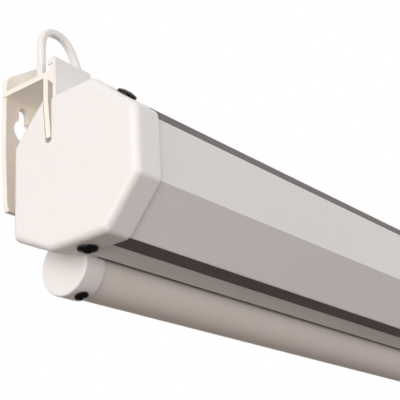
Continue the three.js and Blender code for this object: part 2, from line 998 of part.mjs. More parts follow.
function barTube() {
  const slitAngle = THREE.MathUtils.radToDeg(Math.asin(barSlit / 2 / barRadius));
  const outer = arcPoints(barCentreY, barCentreZ, barRadius, 90 + slitAngle, 450 - slitAngle, roundSteps);
  const inner = arcPoints(
    barCentreY,
    barCentreZ,
    barRadius - barWall,
    450 - slitAngle,
    90 + slitAngle,
    roundSteps,
  );
  return runX(new THREE.Shape([...outer, ...inner]), -barTubeEndX, barTubeEndX);
}

function barCap() {
  const sleeve = barRadius + fitGap;
  const profile = [point(0, 0), point(barCapRadius - barCapRound, 0)];
  for (let i = 1; i <= filletSteps; i += 1) {
    const angle = (Math.PI / 2) * (i / filletSteps);
    profile.push(point(
      barCapRadius - barCapRound + barCapRound * Math.sin(angle),
      barCapRound - barCapRound * Math.cos(angle),
    ));
  }
  profile.push(
    point(barCapRadius, barCapLength),
    point(sleeve, barCapLength),
    point(sleeve, barCapWall),
    point(0, barCapWall),
  );
  const geometry = new THREE.LatheGeometry(profile, roundSteps);
  geometry.rotateZ(-Math.PI / 2);
  geometry.translate(-barEndX, barCentreY, barCentreZ);
  return geometryOf(cutFrom(solid(geometry), barScrewHole()));
}

const barScrewTurn = THREE.MathUtils.degToRad(barScrewAngle);
const barScrewOut = new THREE.Vector3(0, Math.cos(barScrewTurn), Math.sin(barScrewTurn));
const barScrewPlace = new THREE.Vector3(-barEndX + barScrewInset, barCentreY, barCentreZ)
  .addScaledVector(barScrewOut, barCapRadius + fitGap);

function barScrewHole() {
  return screwHole(
    barScrewPlace,
    barScrewOut,
    barScrewShankRadius + fitGap,
    barScrewShankLength + cutOverrun,
  );
}

function barTubeDrilled() {
  const holes = [barScrewHole(), mirroredInX(barScrewHole()), saddleScrewHole(-1), saddleScrewHole(1)];
  return geometryOf(cutFrom(solid(barTube()), ...holes));
}

function barScrew() {
  return screwAt(
    barScrewPlace,
    barScrewOut,
    barScrewHeadRadius,
    barScrewHeadHeight,
    barScrewShankRadius,
    barScrewShankLength,
  );
}

function hemRod() {
  return rodX(fabricY, hemRodZ, hemRodRadius, -fabricWidth / 2, fabricWidth / 2, smallRoundSteps);
}

// Handle saddle under the bar, pivot pin and swinging handle

const saddleInner = barRadius + fitGap;
const saddleOuter = saddleInner + saddleThickness;
const pivotZ = barCentreZ - saddleOuter - pivotDrop;

const saddleScrewX = saddleLength / 2 - earThickness * 2 - barScrewHeadRadius / 2;

function saddleScrewPlace(side) {
  return new THREE.Vector3(side * saddleScrewX, barCentreY, barCentreZ - saddleOuter - fitGap);
}

function saddleScrewHole(side) {
  return screwHole(
    saddleScrewPlace(side),
    new THREE.Vector3(0, 0, -1),
    barScrewShankRadius + fitGap,
    barScrewShankLength + cutOverrun,
  );
}

function handleSaddle() {
  const from = 270 - saddleHalfAngle;
  const to = 270 + saddleHalfAngle;
  const band = runX(
    new THREE.Shape([
      ...arcPoints(barCentreY, barCentreZ, saddleOuter, from, to, smallRoundSteps),
      ...arcPoints(barCentreY, barCentreZ, saddleInner, to, from, smallRoundSteps),
    ]),
    -saddleLength / 2,
    saddleLength / 2,
  );
  const ears = [-1, 1].map((side) => {
    const outerX = side * saddleLength / 2;
    const innerX = side * (saddleLength / 2 - earThickness);
    const drop = block(
      Math.min(outerX, innerX),
      Math.max(outerX, innerX),
      barCentreY - earWidth / 2,
      barCentreY + earWidth / 2,
      pivotZ,
      barCentreZ - saddleInner - saddleThickness / 2,
    );
    const nose = rodX(
      barCentreY,
      pivotZ,
      earWidth / 2,
      Math.min(outerX, innerX),
      Math.max(outerX, innerX),
      smallRoundSteps,
    );
    return joined(drop, nose);
  });
  const pinHole = rodX(
    barCentreY,
    pivotZ,
    handlePinRadius + fitGap,
    -saddleLength,
    saddleLength,
    smallRoundSteps,
  );
  const body = ears.reduce((whole, ear) => whole.add(ear), solid(band));
  return geometryOf(cutFrom(body, pinHole, saddleScrewHole(-1), saddleScrewHole(1)));
}

function saddleScrew() {
  return screwAt(
    saddleScrewPlace(-1),
    new THREE.Vector3(0, 0, -1),
    barScrewHeadRadius,
    barScrewHeadHeight,
    barScrewShankRadius,
    barScrewShankLength,
  );
}

function handlePin() {
  const reach = saddleLength / 2 + fitGap;
  const rod = rodX(barCentreY, pivotZ, handlePinRadius, -reach - fitGap, reach + fitGap, smallRoundSteps);
  const heads = [-1, 1].map((side) => {
    const inner = side * reach;
    const outer = side * (reach + handlePinHeadLength);
    return rodX(
      barCentreY,
      pivotZ,
      handlePinHead,
      Math.min(inner, outer),
      Math.max(inner, outer),
      smallRoundSteps,
    );
  });
  return geometryOf(joined(rod, ...heads));
}

const eyeX = saddleLength / 2 - earThickness - runningGap - eyeLength / 2;

function pullHandle() {
  const below = (x, drop) => new THREE.Vector3(x, barCentreY, pivotZ - drop);
  const eyeEdge = eyeRadius - gripRadius / 2;
  const shoulderX = (gripHalfWidth + eyeX) / 2;
  const half = [
    below(eyeX, eyeEdge),
    below(eyeX, gripShoulderDrop),
    below(shoulderX, gripShoulderDrop + gripRadius * 2),
    below(gripHalfWidth, gripDrop / 2 + gripShoulderDrop / 2),
    below(gripHalfWidth - gripRadius, gripDrop - gripRadius),
    below(shoulderX, gripDrop),
  ];
  const route = [
    ...half.map((p) => new THREE.Vector3(-p.x, p.y, p.z)),
    ...half.slice().reverse(),
  ];
  const curve = new THREE.CatmullRomCurve3(route, false, 'centripetal');
  const section = circleShape(0, 0, gripRadius, ropeSides);
  const grip = new THREE.ExtrudeGeometry(
    section,
    { steps: gripSteps, extrudePath: curve, bevelEnabled: false },
  );
  const eyes = [-1, 1].map((side) => rodX(
    barCentreY,
    pivotZ,
    eyeRadius,
    side * eyeX - eyeLength / 2,
    side * eyeX + eyeLength / 2,
    smallRoundSteps,
  ));
  const bore = rodX(
    barCentreY,
    pivotZ,
    handlePinRadius + fitGap,
    -saddleLength,
    saddleLength,
    smallRoundSteps,
  );
  return geometryOf(cutFrom(joined(grip, ...eyes), bore));
}

// Wall bracket, drawn for the left end: plate with keyhole, shelf with hook, tongue, crossbar and hoop

const plateLeftX = -halfLength + wallPlateInset;
const plateRightX = plateLeftX + wallPlateWidth;
const footInset = (wallPlateWidth - wallPlateFootWidth) / 2;
const bracketLeftX = -halfLength + fitGap;
const shelfBottomZ = shelfTopZ - shelfThickness;
const hookFrontY = lugFrontY + lugPlateThickness + fitGap;
const hookTopZ = lugTopZ - lugFlangeThickness - fitGap;
const hoopLeftX = -halfLength + hoopLeftInset;
const hoopRightX = hoopLeftX + hoopSpan;

function wallPlate() {
  const shoulderRise = wallPlateTopZ - wallPlateShoulderZ;
  const corner = arcPoints(
    plateLeftX + shoulderRise / 2,
    wallPlateShoulderZ,
    shoulderRise / 2,
    180,
    110,
    filletSteps,
  );
  return runY([
    point(plateLeftX, wallPlateWaistZ),
    point(plateLeftX + footInset / 2, wallPlateBottomZ + footInset),
    point(plateLeftX + footInset, wallPlateBottomZ),
    point(plateRightX - footInset, wallPlateBottomZ),
    point(plateRightX - footInset / 2, wallPlateBottomZ + footInset),
    point(plateRightX, wallPlateWaistZ),
    point(plateRightX, wallPlateTopZ),
    point(plateRightX - footInset, wallPlateTopZ),
    ...corner.reverse(),
  ], wallPlateFrontY, wallY);
}

function keyholeCuts() {
  const keyX = -halfLength + keyholeX;
  const slotHalf = keyholeSlotWidth / 2;
  const slot = [
    ...arcPoints(keyX, keyholeSlotTopZ - slotHalf, slotHalf, 0, 180, filletSteps * 3),
    point(keyX - slotHalf, keyholeZ),
    point(keyX + slotHalf, keyholeZ),
  ];
  const round = arcPoints(keyX, keyholeZ, keyholeRadius, 0, 360, smallRoundSteps).slice(0, smallRoundSteps);
  return [slot, round].map((outline) => runY(outline, wallPlateFrontY - cutOverrun, wallY + cutOverrun));
}

function shelf() {
  const rearY = wallPlateFrontY + wallPlateThickness / 2;
  return runX(new THREE.Shape([
    point(hookFrontY, shelfBottomZ - hookSlope),
    point(hookFrontY + hookSlope, shelfBottomZ),
    point(rearY, shelfBottomZ),
    point(rearY, shelfTopZ),
    point(hookFrontY + hookThickness, shelfTopZ),
    point(hookFrontY + hookThickness, hookTopZ),
    point(hookFrontY, hookTopZ),
  ]), bracketLeftX, bracketLeftX + shelfLength);
}

function tongue() {
  const round = hangSlotBottomWidth / 2;
  const footZ = hangSlotBottomZ + round + tongueSeatGap;
  const spread = (hangSlotRearTopY - hangSlotRearBottomY) / (faceHeight - hangSlotBottomZ - round);
  const footY = hangSlotRearBottomY + spread * tongueSeatGap - fitGap;
  const topY = hangSlotRearTopY - fitGap;
  return runX(new THREE.Shape([
    point(footY - tongueThickness, footZ),
    point(footY, footZ),
    point(topY, faceHeight),
    point(topY, shelfTopZ - shelfThickness / 2),
    point(topY - tongueThickness, shelfTopZ - shelfThickness / 2),
    point(topY - tongueThickness, faceHeight),
  ]), bracketLeftX, -halfLength + hangSlotDepth - fitGap);
}

function crossbar() {
  return block(
    bracketLeftX,
    hoopRightX + crossbarEnd,
    crossbarFrontY,
    hoopPlaneY + hoopWireRadius,
    shelfBottomZ,
    shelfTopZ,
  );
}

function hoop() {
  const top = hoopTopZ - hoopWireRadius;
  const foot = shelfTopZ - shelfThickness / 2;
  const leftKnee = top - hoopRise;
  const rightKnee = shelfTopZ + hoopRightKneeRise;
  const peak = hoopLeftX + hoopSpan * hoopPeakShare;
  const at = (x, z) => new THREE.Vector3(x, hoopPlaneY, z);
  const path = new THREE.CurvePath();
  path.add(new THREE.LineCurve3(at(hoopLeftX, foot), at(hoopLeftX, leftKnee)));
  path.add(new THREE.CubicBezierCurve3(
    at(hoopLeftX, leftKnee),
    at(hoopLeftX, leftKnee + hoopRise * hoopShoulderShare),
    at(peak - hoopRise * hoopCrownShare, top),
    at(peak, top),
  ));
  path.add(new THREE.CubicBezierCurve3(
    at(peak, top),
    at(peak + hoopRise * hoopArmShare, top),
    at(hoopRightX - hoopArmLean, rightKnee + hoopRise * hoopArmShare),
    at(hoopRightX, rightKnee),
  ));
  path.add(new THREE.LineCurve3(at(hoopRightX, rightKnee), at(hoopRightX, foot)));
  const section = circleShape(0, 0, hoopWireRadius, ropeSides);
  return new THREE.ExtrudeGeometry(section, { steps: hoopSteps, extrudePath: path, bevelEnabled: false });
}

function wallBracket() {
  const body = joined(wallPlate(), shelf(), tongue(), crossbar(), hoop());
  return geometryOf(cutFrom(body, ...keyholeCuts()));
}

// Visible screws of the caps

function capScrew(place, out) {
  return screwAt(
    place,
    out,
    capScrewHeadRadius,
    capScrewHeadHeight,
    capScrewShankRadius,
    capScrewShankLength,
  );
}

// Assembly

const assembly = new THREE.Group();
const sections = new THREE.Group();
sections.position.set(0, -wallY, -hangZ);
assembly.add(sections);

function piece(name, geometry, finish) {
  const mesh = new THREE.Mesh(geometry, new THREE.MeshStandardMaterial(finish));
  mesh.name = name;
  sections.add(mesh);
}

function pair(name, leftGeometry, finish) {
  piece(`left_${name}`, leftGeometry, finish);
  piece(`right_${name}`, mirroredInX(leftGeometry), finish);
}

piece('case_profile', caseProfile(), paintedAluminium);
piece('upper_trim_strip', upperTrimStrip(), darkTrim);
piece('lower_trim_strip', lowerTrimStrip(), darkTrim);
pair('end_cap', endCap(), whitePlastic);
pair('cap_upper_screw', capScrew(topScrewPlace, topScrewOut), blackSteel);
pair('cap_lower_screw', capScrew(bottomScrewPlace, bottomScrewOut), blackSteel);
pair('wall_bracket', wallBracket(), whitePlastic);
piece('spring_end_plate', springEndPlate(), bareSteel);
piece('idler_end_plate', idlerEndPlate(), bareSteel);
pair('plate_front_screw', plateScrew(plateScrewPlaces[0]), bareSteel);
pair('plate_rear_screw', plateScrew(plateScrewPlaces[1]), bareSteel);
piece('idler_bush', idlerBush(), greyPlastic);
piece('spring_shaft', springShaft(), bareSteel);
piece('torsion_spring', torsionSpring(), bareSteel);
piece('spring_collar', springCollar(), bareSteel);
piece('ratchet_hub', ratchetHub(), bareSteel);
piece('roller_tube', rollerTube(), bareSteel);
piece('ratchet_plug', ratchetPlug(), greyPlastic);
piece('upper_pawl_pin', pawlPin(pawlPivots[0]), bareSteel);
piece('lower_pawl_pin', pawlPin(pawlPivots[1]), bareSteel);
piece('upper_pawl', pawl(1), bareSteel);
piece('lower_pawl', pawl(-1), bareSteel);
piece('shaft_steady', shaftSteady(), greyPlastic);
piece('idler_plug', idlerPlug(), greyPlastic);
piece('idler_pin', idlerPin(), bareSteel);
piece('fabric_roll', fabricRoll(), whiteFabric);
piece('fabric_drop', fabricDrop(), whiteFabric);
piece('fabric_hem', fabricHem(), whiteFabric);
piece('hem_rod', hemRod(), bareSteel);
piece('bar_tube', barTubeDrilled(), paintedAluminium);
pair('bar_cap', barCap(), whitePlastic);
pair('bar_cap_screw', barScrew(), blackSteel);
piece('handle_saddle', handleSaddle(), whitePlastic);
pair('saddle_screw', saddleScrew(), blackSteel);
piece('handle_pin', handlePin(), bareSteel);
piece('pull_handle', pullHandle(), whitePlastic);

export default assembly;
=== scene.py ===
"""The looks of a pull down projector screen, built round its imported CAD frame."""

import json
import math

import bmesh
import bpy
from mathutils import Matrix, Vector
from mathutils.geometry import interpolate_bezier


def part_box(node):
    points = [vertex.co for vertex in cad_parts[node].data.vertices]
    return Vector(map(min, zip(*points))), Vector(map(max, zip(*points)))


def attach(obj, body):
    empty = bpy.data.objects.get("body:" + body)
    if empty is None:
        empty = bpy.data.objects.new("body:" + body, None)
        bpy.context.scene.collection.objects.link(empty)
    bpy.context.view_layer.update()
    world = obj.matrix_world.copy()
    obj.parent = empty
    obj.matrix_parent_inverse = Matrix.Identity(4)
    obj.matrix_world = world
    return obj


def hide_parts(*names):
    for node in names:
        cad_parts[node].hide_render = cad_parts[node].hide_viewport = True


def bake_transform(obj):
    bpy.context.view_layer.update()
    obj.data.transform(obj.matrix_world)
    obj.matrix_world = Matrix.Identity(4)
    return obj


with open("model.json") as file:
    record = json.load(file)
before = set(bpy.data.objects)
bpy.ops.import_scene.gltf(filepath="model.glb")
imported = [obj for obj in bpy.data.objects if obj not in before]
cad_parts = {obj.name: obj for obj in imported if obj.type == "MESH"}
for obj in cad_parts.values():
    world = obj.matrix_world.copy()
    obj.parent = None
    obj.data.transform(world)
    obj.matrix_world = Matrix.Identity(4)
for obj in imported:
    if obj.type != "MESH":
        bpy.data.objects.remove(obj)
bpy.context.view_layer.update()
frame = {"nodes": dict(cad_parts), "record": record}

bl_info = {
    "name": "Projector screen",
    "version": (1, 0, 0),
    "blender": (4, 5, 0),
    "location": "3D View > Sidebar > Screen",
    "description": "Builds the visible pieces of a pull down projector screen",
    "category": "Object",
}

MM = 0.001
SIDES = ("left", "right")

# Places read from the frame
CAP_LOW, CAP_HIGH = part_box("left_end_cap")
BRACKET_LOW, BRACKET_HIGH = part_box("left_wall_bracket")
BAR_CAP_LOW, BAR_CAP_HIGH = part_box("left_bar_cap")
TUBE_LOW, TUBE_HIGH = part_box("bar_tube")
ROLL_LOW, ROLL_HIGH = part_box("fabric_roll")
CORE_LOW, CORE_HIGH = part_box("roller_tube")
DROP_LOW, DROP_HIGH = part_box("fabric_drop")
HEM_LOW, HEM_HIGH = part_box("fabric_hem")
ROD_LOW, ROD_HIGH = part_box("hem_rod")
PIN_LOW, PIN_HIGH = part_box("handle_pin")
GRIP_LOW, GRIP_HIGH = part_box("pull_handle")
SADDLE_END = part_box("handle_saddle")[1][0]

HALF_LENGTH = -CAP_LOW[0]
BAR_Y = (BAR_CAP_LOW[1] + BAR_CAP_HIGH[1]) / 2
BAR_Z = (BAR_CAP_LOW[2] + BAR_CAP_HIGH[2]) / 2
ROLL_Y = (ROLL_LOW[1] + ROLL_HIGH[1]) / 2
ROLL_Z = (ROLL_LOW[2] + ROLL_HIGH[2]) / 2
PIVOT_Y = (PIN_LOW[1] + PIN_HIGH[1]) / 2
PIVOT_Z = (PIN_LOW[2] + PIN_HIGH[2]) / 2

# The photograph's camera, in the shared frame
CAMERA_PLACE = (-1.2802, -0.3833, -0.2559)
CAMERA_YAW = math.radians(52.85)
CAMERA_PITCH = math.radians(21.5)
CAMERA_ROLL = math.radians(-3.53)
CAMERA_FOCAL_PX = 1009
IMAGE_PX = 400
SENSOR_MM = 36
NEAR_CLIP = 0.02

# How the frame's meshes are cleaned, and how many degrees past its rounding limit an edge is sharp
MERGE_DISTANCE = 0.002 * MM
FLAT_ANGLE = math.radians(0.6)
CREASE_MARGIN = 12

# The case: how near its bottom the slot's lip is, how far up the middle of the black strip of painted shade
# at the slot lies in shares of its radius, and how much a face's normal leans along X where it is an end of
# the profile
LIP_BAND = 0.2 * MM
SLOT_SHADE_RISE = 0.5
END_LEAN = 0.5

# A screw, in shares of its head's radius and height, with the steps of its dome and the angle
# from which an edge of its recess is sharp
HEAD_RIM = 0.30
HEAD_FOOT = 0.97
HEAD_FOOT_RISE = 0.06
DOME_STEPS = 15
SHANK = 0.38
CROSS_ARM = 0.15
CROSS_REACH = 0.62
CROSS_FOOT = 0.25
CROSS_TOP = 1.5
CROSS_FOOT_TAPER = (0.62, 0.8)
CROSS_TOP_SPREAD = 1.1
RECESS_HEIGHTS = (0.1, 0.8)
RECESS_REACH = 1.1
RECESS_CREASE = math.radians(38)

# Which way the screws in the cap's chamfer and in the bar cap's ring face
CHAMFER_OUT = (0, -0.6555, 0.7552)
RING_SCREW_ANGLE = math.radians(252)

# The hoop's curve, in shares of its rise
HOOP_SHOULDER = 0.75
HOOP_CROWN = 0.5
HOOP_ARM = 0.8

# The bar's end caps: where the dish starts, in roundings of the rim, and steps in that rounding
DISH_START = 1.6
RIM_STEPS = 6

# The handle's wire: how gently it goes through its bends, and steps from one point to the next
WIRE_EASE = 6
WIRE_STEPS = 9

# The wound fabric: room under the first turn, how far it is pressed flat, and steps in a turn
ROLL_PLAY = 0.3 * MM
WOUND_THICKNESS = 0.8
TURN_STEPS = 40

# Clouds, dust, drawn lines and grain in the moulded and coated finishes
CLOUD = {"scale": 14.0, "detail": 4.0, "roughness": 0.6}
CLOUD_MARKS = (0.35, 0.75)
CLOUD_MIDDLE = (0.3, 0.7)
DUST = {"scale": 90.0, "detail": 5.0, "roughness": 0.7}
DUST_SPECKS = (0.66, 0.74)
ROUGHNESS_SPREAD = 0.06
LINE_STRETCH = (0.012, 1, 1)
GRAIN_STRENGTH = 0.25
MARK_TINT = {"Value": 0.82, "Saturation": 1.15}

# The weave of the screen fabric
THREAD_WOBBLE = 0.4
WEAVE_SHADE = 0.12
SHADED_CLOTH = 0.93
SHADE_SCALE = 6.0
WEAVE_BUMP = {"strength": 0.35, "distance": 0.05 * MM}
CLOTH_ROUGHNESS = 0.92
CLOTH_SHEEN = 0.08

# What sets each moulded or coated finish apart. The grain is in grains per metre.
FINISHES = {
    "cap": {
        "name": "warm white moulding", "roughness": 0.42, "marks": 0.10, "grain": 1800, "depth": 0.03 * MM,
    },
    # The brackets' tan tint is painted shade on a white moulding; their hoops keep the cap's white.
    "bracket": {
        "name": "cream moulding", "roughness": 0.48, "marks": 0.16, "grain": 1500, "depth": 0.04 * MM,
    },
    "case": {
        "name": "case powder coat", "roughness": 0.38, "marks": 0.12, "grain": 2600, "depth": 0.03 * MM,
        "lines": 0.6,
    },
    "bar": {
        "name": "bar powder coat", "roughness": 0.50, "marks": 0.14, "grain": 2600, "depth": 0.03 * MM,
        "lines": 0.5,
    },
    # The dark strips: a painted dark reflection on the upper chamfer, painted shade in the bottom groove.
    "trim": {
        "name": "dark inlay", "roughness": 0.65, "marks": 0.20, "grain": 2000, "depth": 0.03 * MM,
        "lines": 1.0,
    },
    "screw": {
        "name": "black oxide", "roughness": 0.20, "marks": 0.20, "grain": 3000, "depth": 0.002 * MM,
        "ior": 1.25,
    },
    # Near black, painted shade: the faces inside the case and the strip at the slot's edge.
    "inside": {"name": "dark primer", "roughness": 0.60, "marks": 0.20, "grain": 2000, "depth": 0.03 * MM},
    "steel": {
        "name": "zinc plate", "roughness": 0.34, "marks": 0.25, "grain": 1200, "depth": 0.03 * MM,
        "lines": 1.2, "metallic": 1.0,
    },
    "grey": {"name": "grey moulding", "roughness": 0.55, "marks": 0.20, "grain": 1600, "depth": 0.04 * MM},
}

# The stage. Each lamp has a place, a target, a width, its watts and its colour.
LEFT_END = (-0.9, 0, -0.05)
LAMPS = {
    "side": ((-3.5, -0.55, -0.1), LEFT_END, 3.0, 74, (1, 0.985, 0.97)),
    "front": ((0.1, -3.4, 0.2), (-0.3, 0, -0.05), 1.8, 35, (1, 1, 1)),
    "fill": ((-3.0, -1.9, -0.9), LEFT_END, 1.4, 7.5, (1, 0.92, 0.89)),
    "back": ((2.6, 2.8, 1.3), (0.2, 0, -0.05), 2.0, 60, (1, 1, 1)),
}
HORIZON = (-0.3, 0.5)
GROUND_TINT = (1.5, 0.95, 0.9)
WHITE = (1, 1, 1, 1)
FLOOR_HALF = 6
FLOOR_HEIGHT = -2.0
FLOOR_BOUNCE = (0.15, 0.12, 0.105, 1)
FLOOR_SEEN = (0.9, 0.9, 0.9, 1)
FLOOR_GLOW = 0.62
FLOOR_ROUGHNESS = 0.9

# Where Blender's Mix node has its two colours and its mixed colour
MIX_LOW, MIX_HIGH, MIX_RESULT = 6, 7, 2


def length_property(name, description, default):
    return bpy.props.FloatProperty(
        name=name, description=description, default=default, unit="LENGTH", precision=5
    )


def colour_property(name, description, default):
    return bpy.props.FloatVectorProperty(
        name=name, description=description, default=default, size=3, subtype="COLOR", min=0, max=1
    )


def level_property(name, description, default):
    return bpy.props.FloatProperty(
        name=name, description=description, default=default, min=0, max=10, subtype="FACTOR"
    )


class ScreenSizes(bpy.types.PropertyGroup):
    """Sizes of the dressed pieces, which keep to the frame's own places."""

    moulded_edge: length_property("Moulded edge", "Edge rounding of the moulded plastic", 0.7 * MM)
    case_edge: length_property("Case edge", "Edge rounding of the painted case", 0.5 * MM)
    strip_edge: length_property("Strip edge", "Edge rounding of the dark inlays", 0.15 * MM)
    saddle_edge: length_property("Saddle edge", "Edge rounding of the handle's saddle", 0.4 * MM)
    slot_shade_radius: length_property("Slot shade radius", "Half the width of the painted black shadow at the slot", 0.6 * MM)
    hoop_wire: length_property("Hoop half width", "Half the width of the hoop's section", 2.15 * MM)
    hoop_depth: length_property("Hoop half depth", "Half the depth of the hoop's section", 2.25 * MM)
    hoop_inset: length_property("Hoop inset", "From the end of the case to the hoop's first leg", 2.5 * MM)
    hoop_span: length_property("Hoop span", "Between the middles of the hoop's legs", 29.4 * MM)
    hoop_rise: length_property("Hoop rise", "Height of the hoop's arch over its steep leg", 12 * MM)
    hoop_peak: length_property("Hoop peak", "From the steep leg to the hoop's highest point", 11.8 * MM)
    hoop_knee: length_property("Hoop knee", "From the hoop's foot to the bend of the leaning leg", 9.2 * MM)
    hoop_lean: length_property("Hoop lean", "How far the long arm leans in above its bend", 3 * MM)
    hoop_foot: length_property("Hoop foot", "From the hoop's top down into the shelf", 33.2 * MM)
    hoop_back: length_property("Hoop back", "From the bracket's front to the hoop's middle", 10.9 * MM)
    hoop_start: length_property("Hoop start", "From the hoop's foot to where its mesh takes over", 1.2 * MM)
    hoop_zone: length_property("Hoop zone", "Depth each side of the middle that is the hoop's", 4 * MM)
    cap_head: length_property("Cap screw head", "Radius of the cap screws' heads", 5.5 * MM)
    cap_head_height: length_property("Cap screw height", "Height of the cap screws' heads", 2.4 * MM)
    cap_shank: length_property("Cap screw shank", "Length of the cap screws' shanks", 4.6 * MM)
    small_head: length_property("Small screw head", "Radius of the small screws' heads", 3.8 * MM)
    small_head_height: length_property("Small screw height", "Height of the small screws' heads", 1.7 * MM)
    small_shank: length_property("Small screw shank", "Length of the small screws' shanks", 4 * MM)
    bar_round: length_property("Bar cap rounding", "Rounding of the bar cap's rim", 1.2 * MM)
    bar_wall: length_property("Bar wall", "Wall of the weight bar's tube", 1.4 * MM)
    bar_slit: length_property("Bar slit", "Opening along the top of the tube", 2.4 * MM)
    bar_cap_dish: length_property("Bar cap dish", "How far the bar cap's middle stands out", 0.05 * MM)
    bar_cap_lip: length_property("Bar cap lip", "Chamfer where the bar cap meets the tube", 0.35 * MM)
    bar_cap_play: length_property("Bar cap play", "Room between the bar cap and the tube", 0.15 * MM)
    bar_cap_floor: length_property("Bar cap floor", "Thickness of the bar cap's end", 2.5 * MM)
    grip_wire: length_property("Grip half width", "Half the width of the handle's section", 3 * MM)
    grip_inset: length_property("Grip inset", "From the saddle's end to the middle of an eye", 8.5 * MM)
    grip_neck: length_property("Grip neck", "From the pin down to the top of the wire", 3 * MM)
    grip_bend: length_property("Grip bend", "From the pin down to where the wire bends out", 12 * MM)
    grip_elbow: length_property("Grip elbow", "From the pin down to the middle of the bend", 18 * MM)
    eye_length: length_property("Eye length", "Length of the handle's eyes along the pin", 8 * MM)
    eye_radius: length_property("Eye radius", "Radius of the handle's eyes", 4.6 * MM)
    eye_rim: length_property("Eye rim", "Chamfer round the handle's eyes", 0.7 * MM)
    cloth_thickness: length_property("Fabric thickness", "Thickness of the screen fabric", 0.4 * MM)
    wound_turns: bpy.props.IntProperty(
        name="Wound turns", description="Turns of fabric on the roller", default=10, min=1, max=40
    )


class ScreenColours(bpy.types.PropertyGroup):
    """Colours of the finishes."""

    cap: colour_property("Cap", "Warm white moulded plastic", (0.85, 0.82, 0.80))
    # Tan tint, painted shade on the brackets
    bracket: colour_property("Bracket", "Wall bracket plastic, tinted tan for painted shade", (0.92, 0.855, 0.765))
    case: colour_property("Case", "Powder coat on the case", (0.81, 0.785, 0.78))
    bar: colour_property("Bar", "Powder coat on the weight bar", (0.80, 0.74, 0.685))
    # Dark strips: a painted dark reflection on the upper chamfer, painted shade in the bottom groove.
    trim: colour_property("Dark trim", "Dark strips of painted reflection and shade", (0.135, 0.108, 0.108))
    screw: colour_property("Screw", "Black oxide on the screws", (0.006, 0.005, 0.005))
    # Painted shade for the inside of the case and the gap at the slot
    inside: colour_property("Case inside", "Painted shade inside the case and at the slot", (0.035, 0.032, 0.030))
    steel: colour_property("Steel", "Zinc plated steel", (0.55, 0.56, 0.58))
    grey: colour_property("Grey plastic", "Grey moulded inner pieces", (0.24, 0.24, 0.23))
    fabric: colour_property("Fabric", "Matt white projection fabric", (0.88, 0.88, 0.865))


class ScreenLight(bpy.types.PropertyGroup):
    """Levels of the studio light."""

    side: level_property("Side light", "Level of the light from the left", 1.0)
    front: level_property("Front light", "Level of the light from the front", 1.0)
    fill: level_property("Fill light", "Level of the weak light from the left, below", 1.0)
    back: level_property("Back light", "Level of the light from behind, on the right", 1.0)
    sky: level_property("Sky", "Level of the even light from above", 0.46)
    ground: level_property("Ground", "Level of the even light from below", 0.05)


def sizes():
    return bpy.context.scene.screen_sizes


def colours():
    return bpy.context.scene.screen_colours


# Mesh tools

def linked(name, mesh):
    piece = bpy.data.objects.new(name, mesh)
    bpy.context.scene.collection.objects.link(piece)
    return piece


def finished(bm, name, smooth_angle=32):
    bmesh.ops.recalc_face_normals(bm, faces=bm.faces)
    mesh = bpy.data.meshes.new(name)
    bm.to_mesh(mesh)
    bm.free()
    mesh.shade_smooth()
    mesh.set_sharp_from_angle(angle=math.radians(smooth_angle))
    return linked(name, mesh)


def applied(piece):
    graph = bpy.context.evaluated_depsgraph_get()
    mesh = bpy.data.meshes.new_from_object(piece.evaluated_get(graph))
    piece.modifiers.clear()
    piece.data = mesh
    return piece


def cad_mesh(node):
    source = frame["nodes"][node]
    bm = bmesh.new()
    bm.from_mesh(source.data)
    bm.transform(source.matrix_world)
    bmesh.ops.remove_doubles(bm, verts=bm.verts, dist=MERGE_DISTANCE)
    bmesh.ops.dissolve_limit(bm, angle_limit=FLAT_ANGLE, verts=bm.verts, edges=bm.edges)
    return bm


def softened(node, name, edge, segments=3, limit=33, keep=None):
    """The node's own shape with its sharp edges rounded.

    Edges sharper than limit degrees are rounded. Where keep is given, only the faces it accepts stay.
    """
    bm = cad_mesh(node)
    if keep:
        gone = [face for face in bm.faces if not keep(face)]
        bmesh.ops.delete(bm, geom=gone, context="FACES")
    piece = finished(bm, name)
    bevel = piece.modifiers.new("rounded edges", "BEVEL")
    bevel.width = edge
    bevel.segments = segments
    bevel.limit_method = "ANGLE"
    bevel.angle_limit = math.radians(limit)
    bevel.harden_normals = True
    bevel.miter_outer = "MITER_ARC"
    applied(piece)
    piece.data.shade_smooth()
    piece.data.set_sharp_from_angle(angle=math.radians(limit + CREASE_MARGIN))
    weigh = piece.modifiers.new("flat faces", "WEIGHTED_NORMAL")
    weigh.mode = "FACE_AREA"
    weigh.keep_sharp = True
    return applied(piece)


def skinned(bm, rings):
    """Joins closed rings of points with faces and caps both ends. All rings have the same count."""
    made = [[bm.verts.new(point) for point in ring] for ring in rings]
    count = len(made[0])
    for before, after in zip(made, made[1:]):
        for i in range(count):
            j = (i + 1) % count
            bm.faces.new((before[i], before[j], after[j], after[i]))
    bm.faces.new(list(reversed(made[0])))
    bm.faces.new(made[-1])


def revolved(bm, profile, segments, matrix=None):
    """Turns a profile of (radius, height) round Z. Its ends lie on the axis."""
    start = len(bm.verts)
    rings = []
    for radius, height in profile[1:-1]:
        rings.append([
            bm.verts.new((radius * math.cos(a), radius * math.sin(a), height))
            for a in (math.tau * i / segments for i in range(segments))
        ])
    poles = [bm.verts.new((0, 0, profile[0][1])), bm.verts.new((0, 0, profile[-1][1]))]
    for before, after in zip(rings, rings[1:]):
        for i in range(segments):
            j = (i + 1) % segments
            bm.faces.new((before[i], before[j], after[j], after[i]))
    for ring, pole in zip((rings[0], rings[-1]), poles):
        for i in range(segments):
            bm.faces.new((ring[i], ring[(i + 1) % segments], pole))
    if matrix is not None:
        bm.verts.ensure_lookup_table()
        bmesh.ops.transform(bm, matrix=matrix, verts=bm.verts[start:])


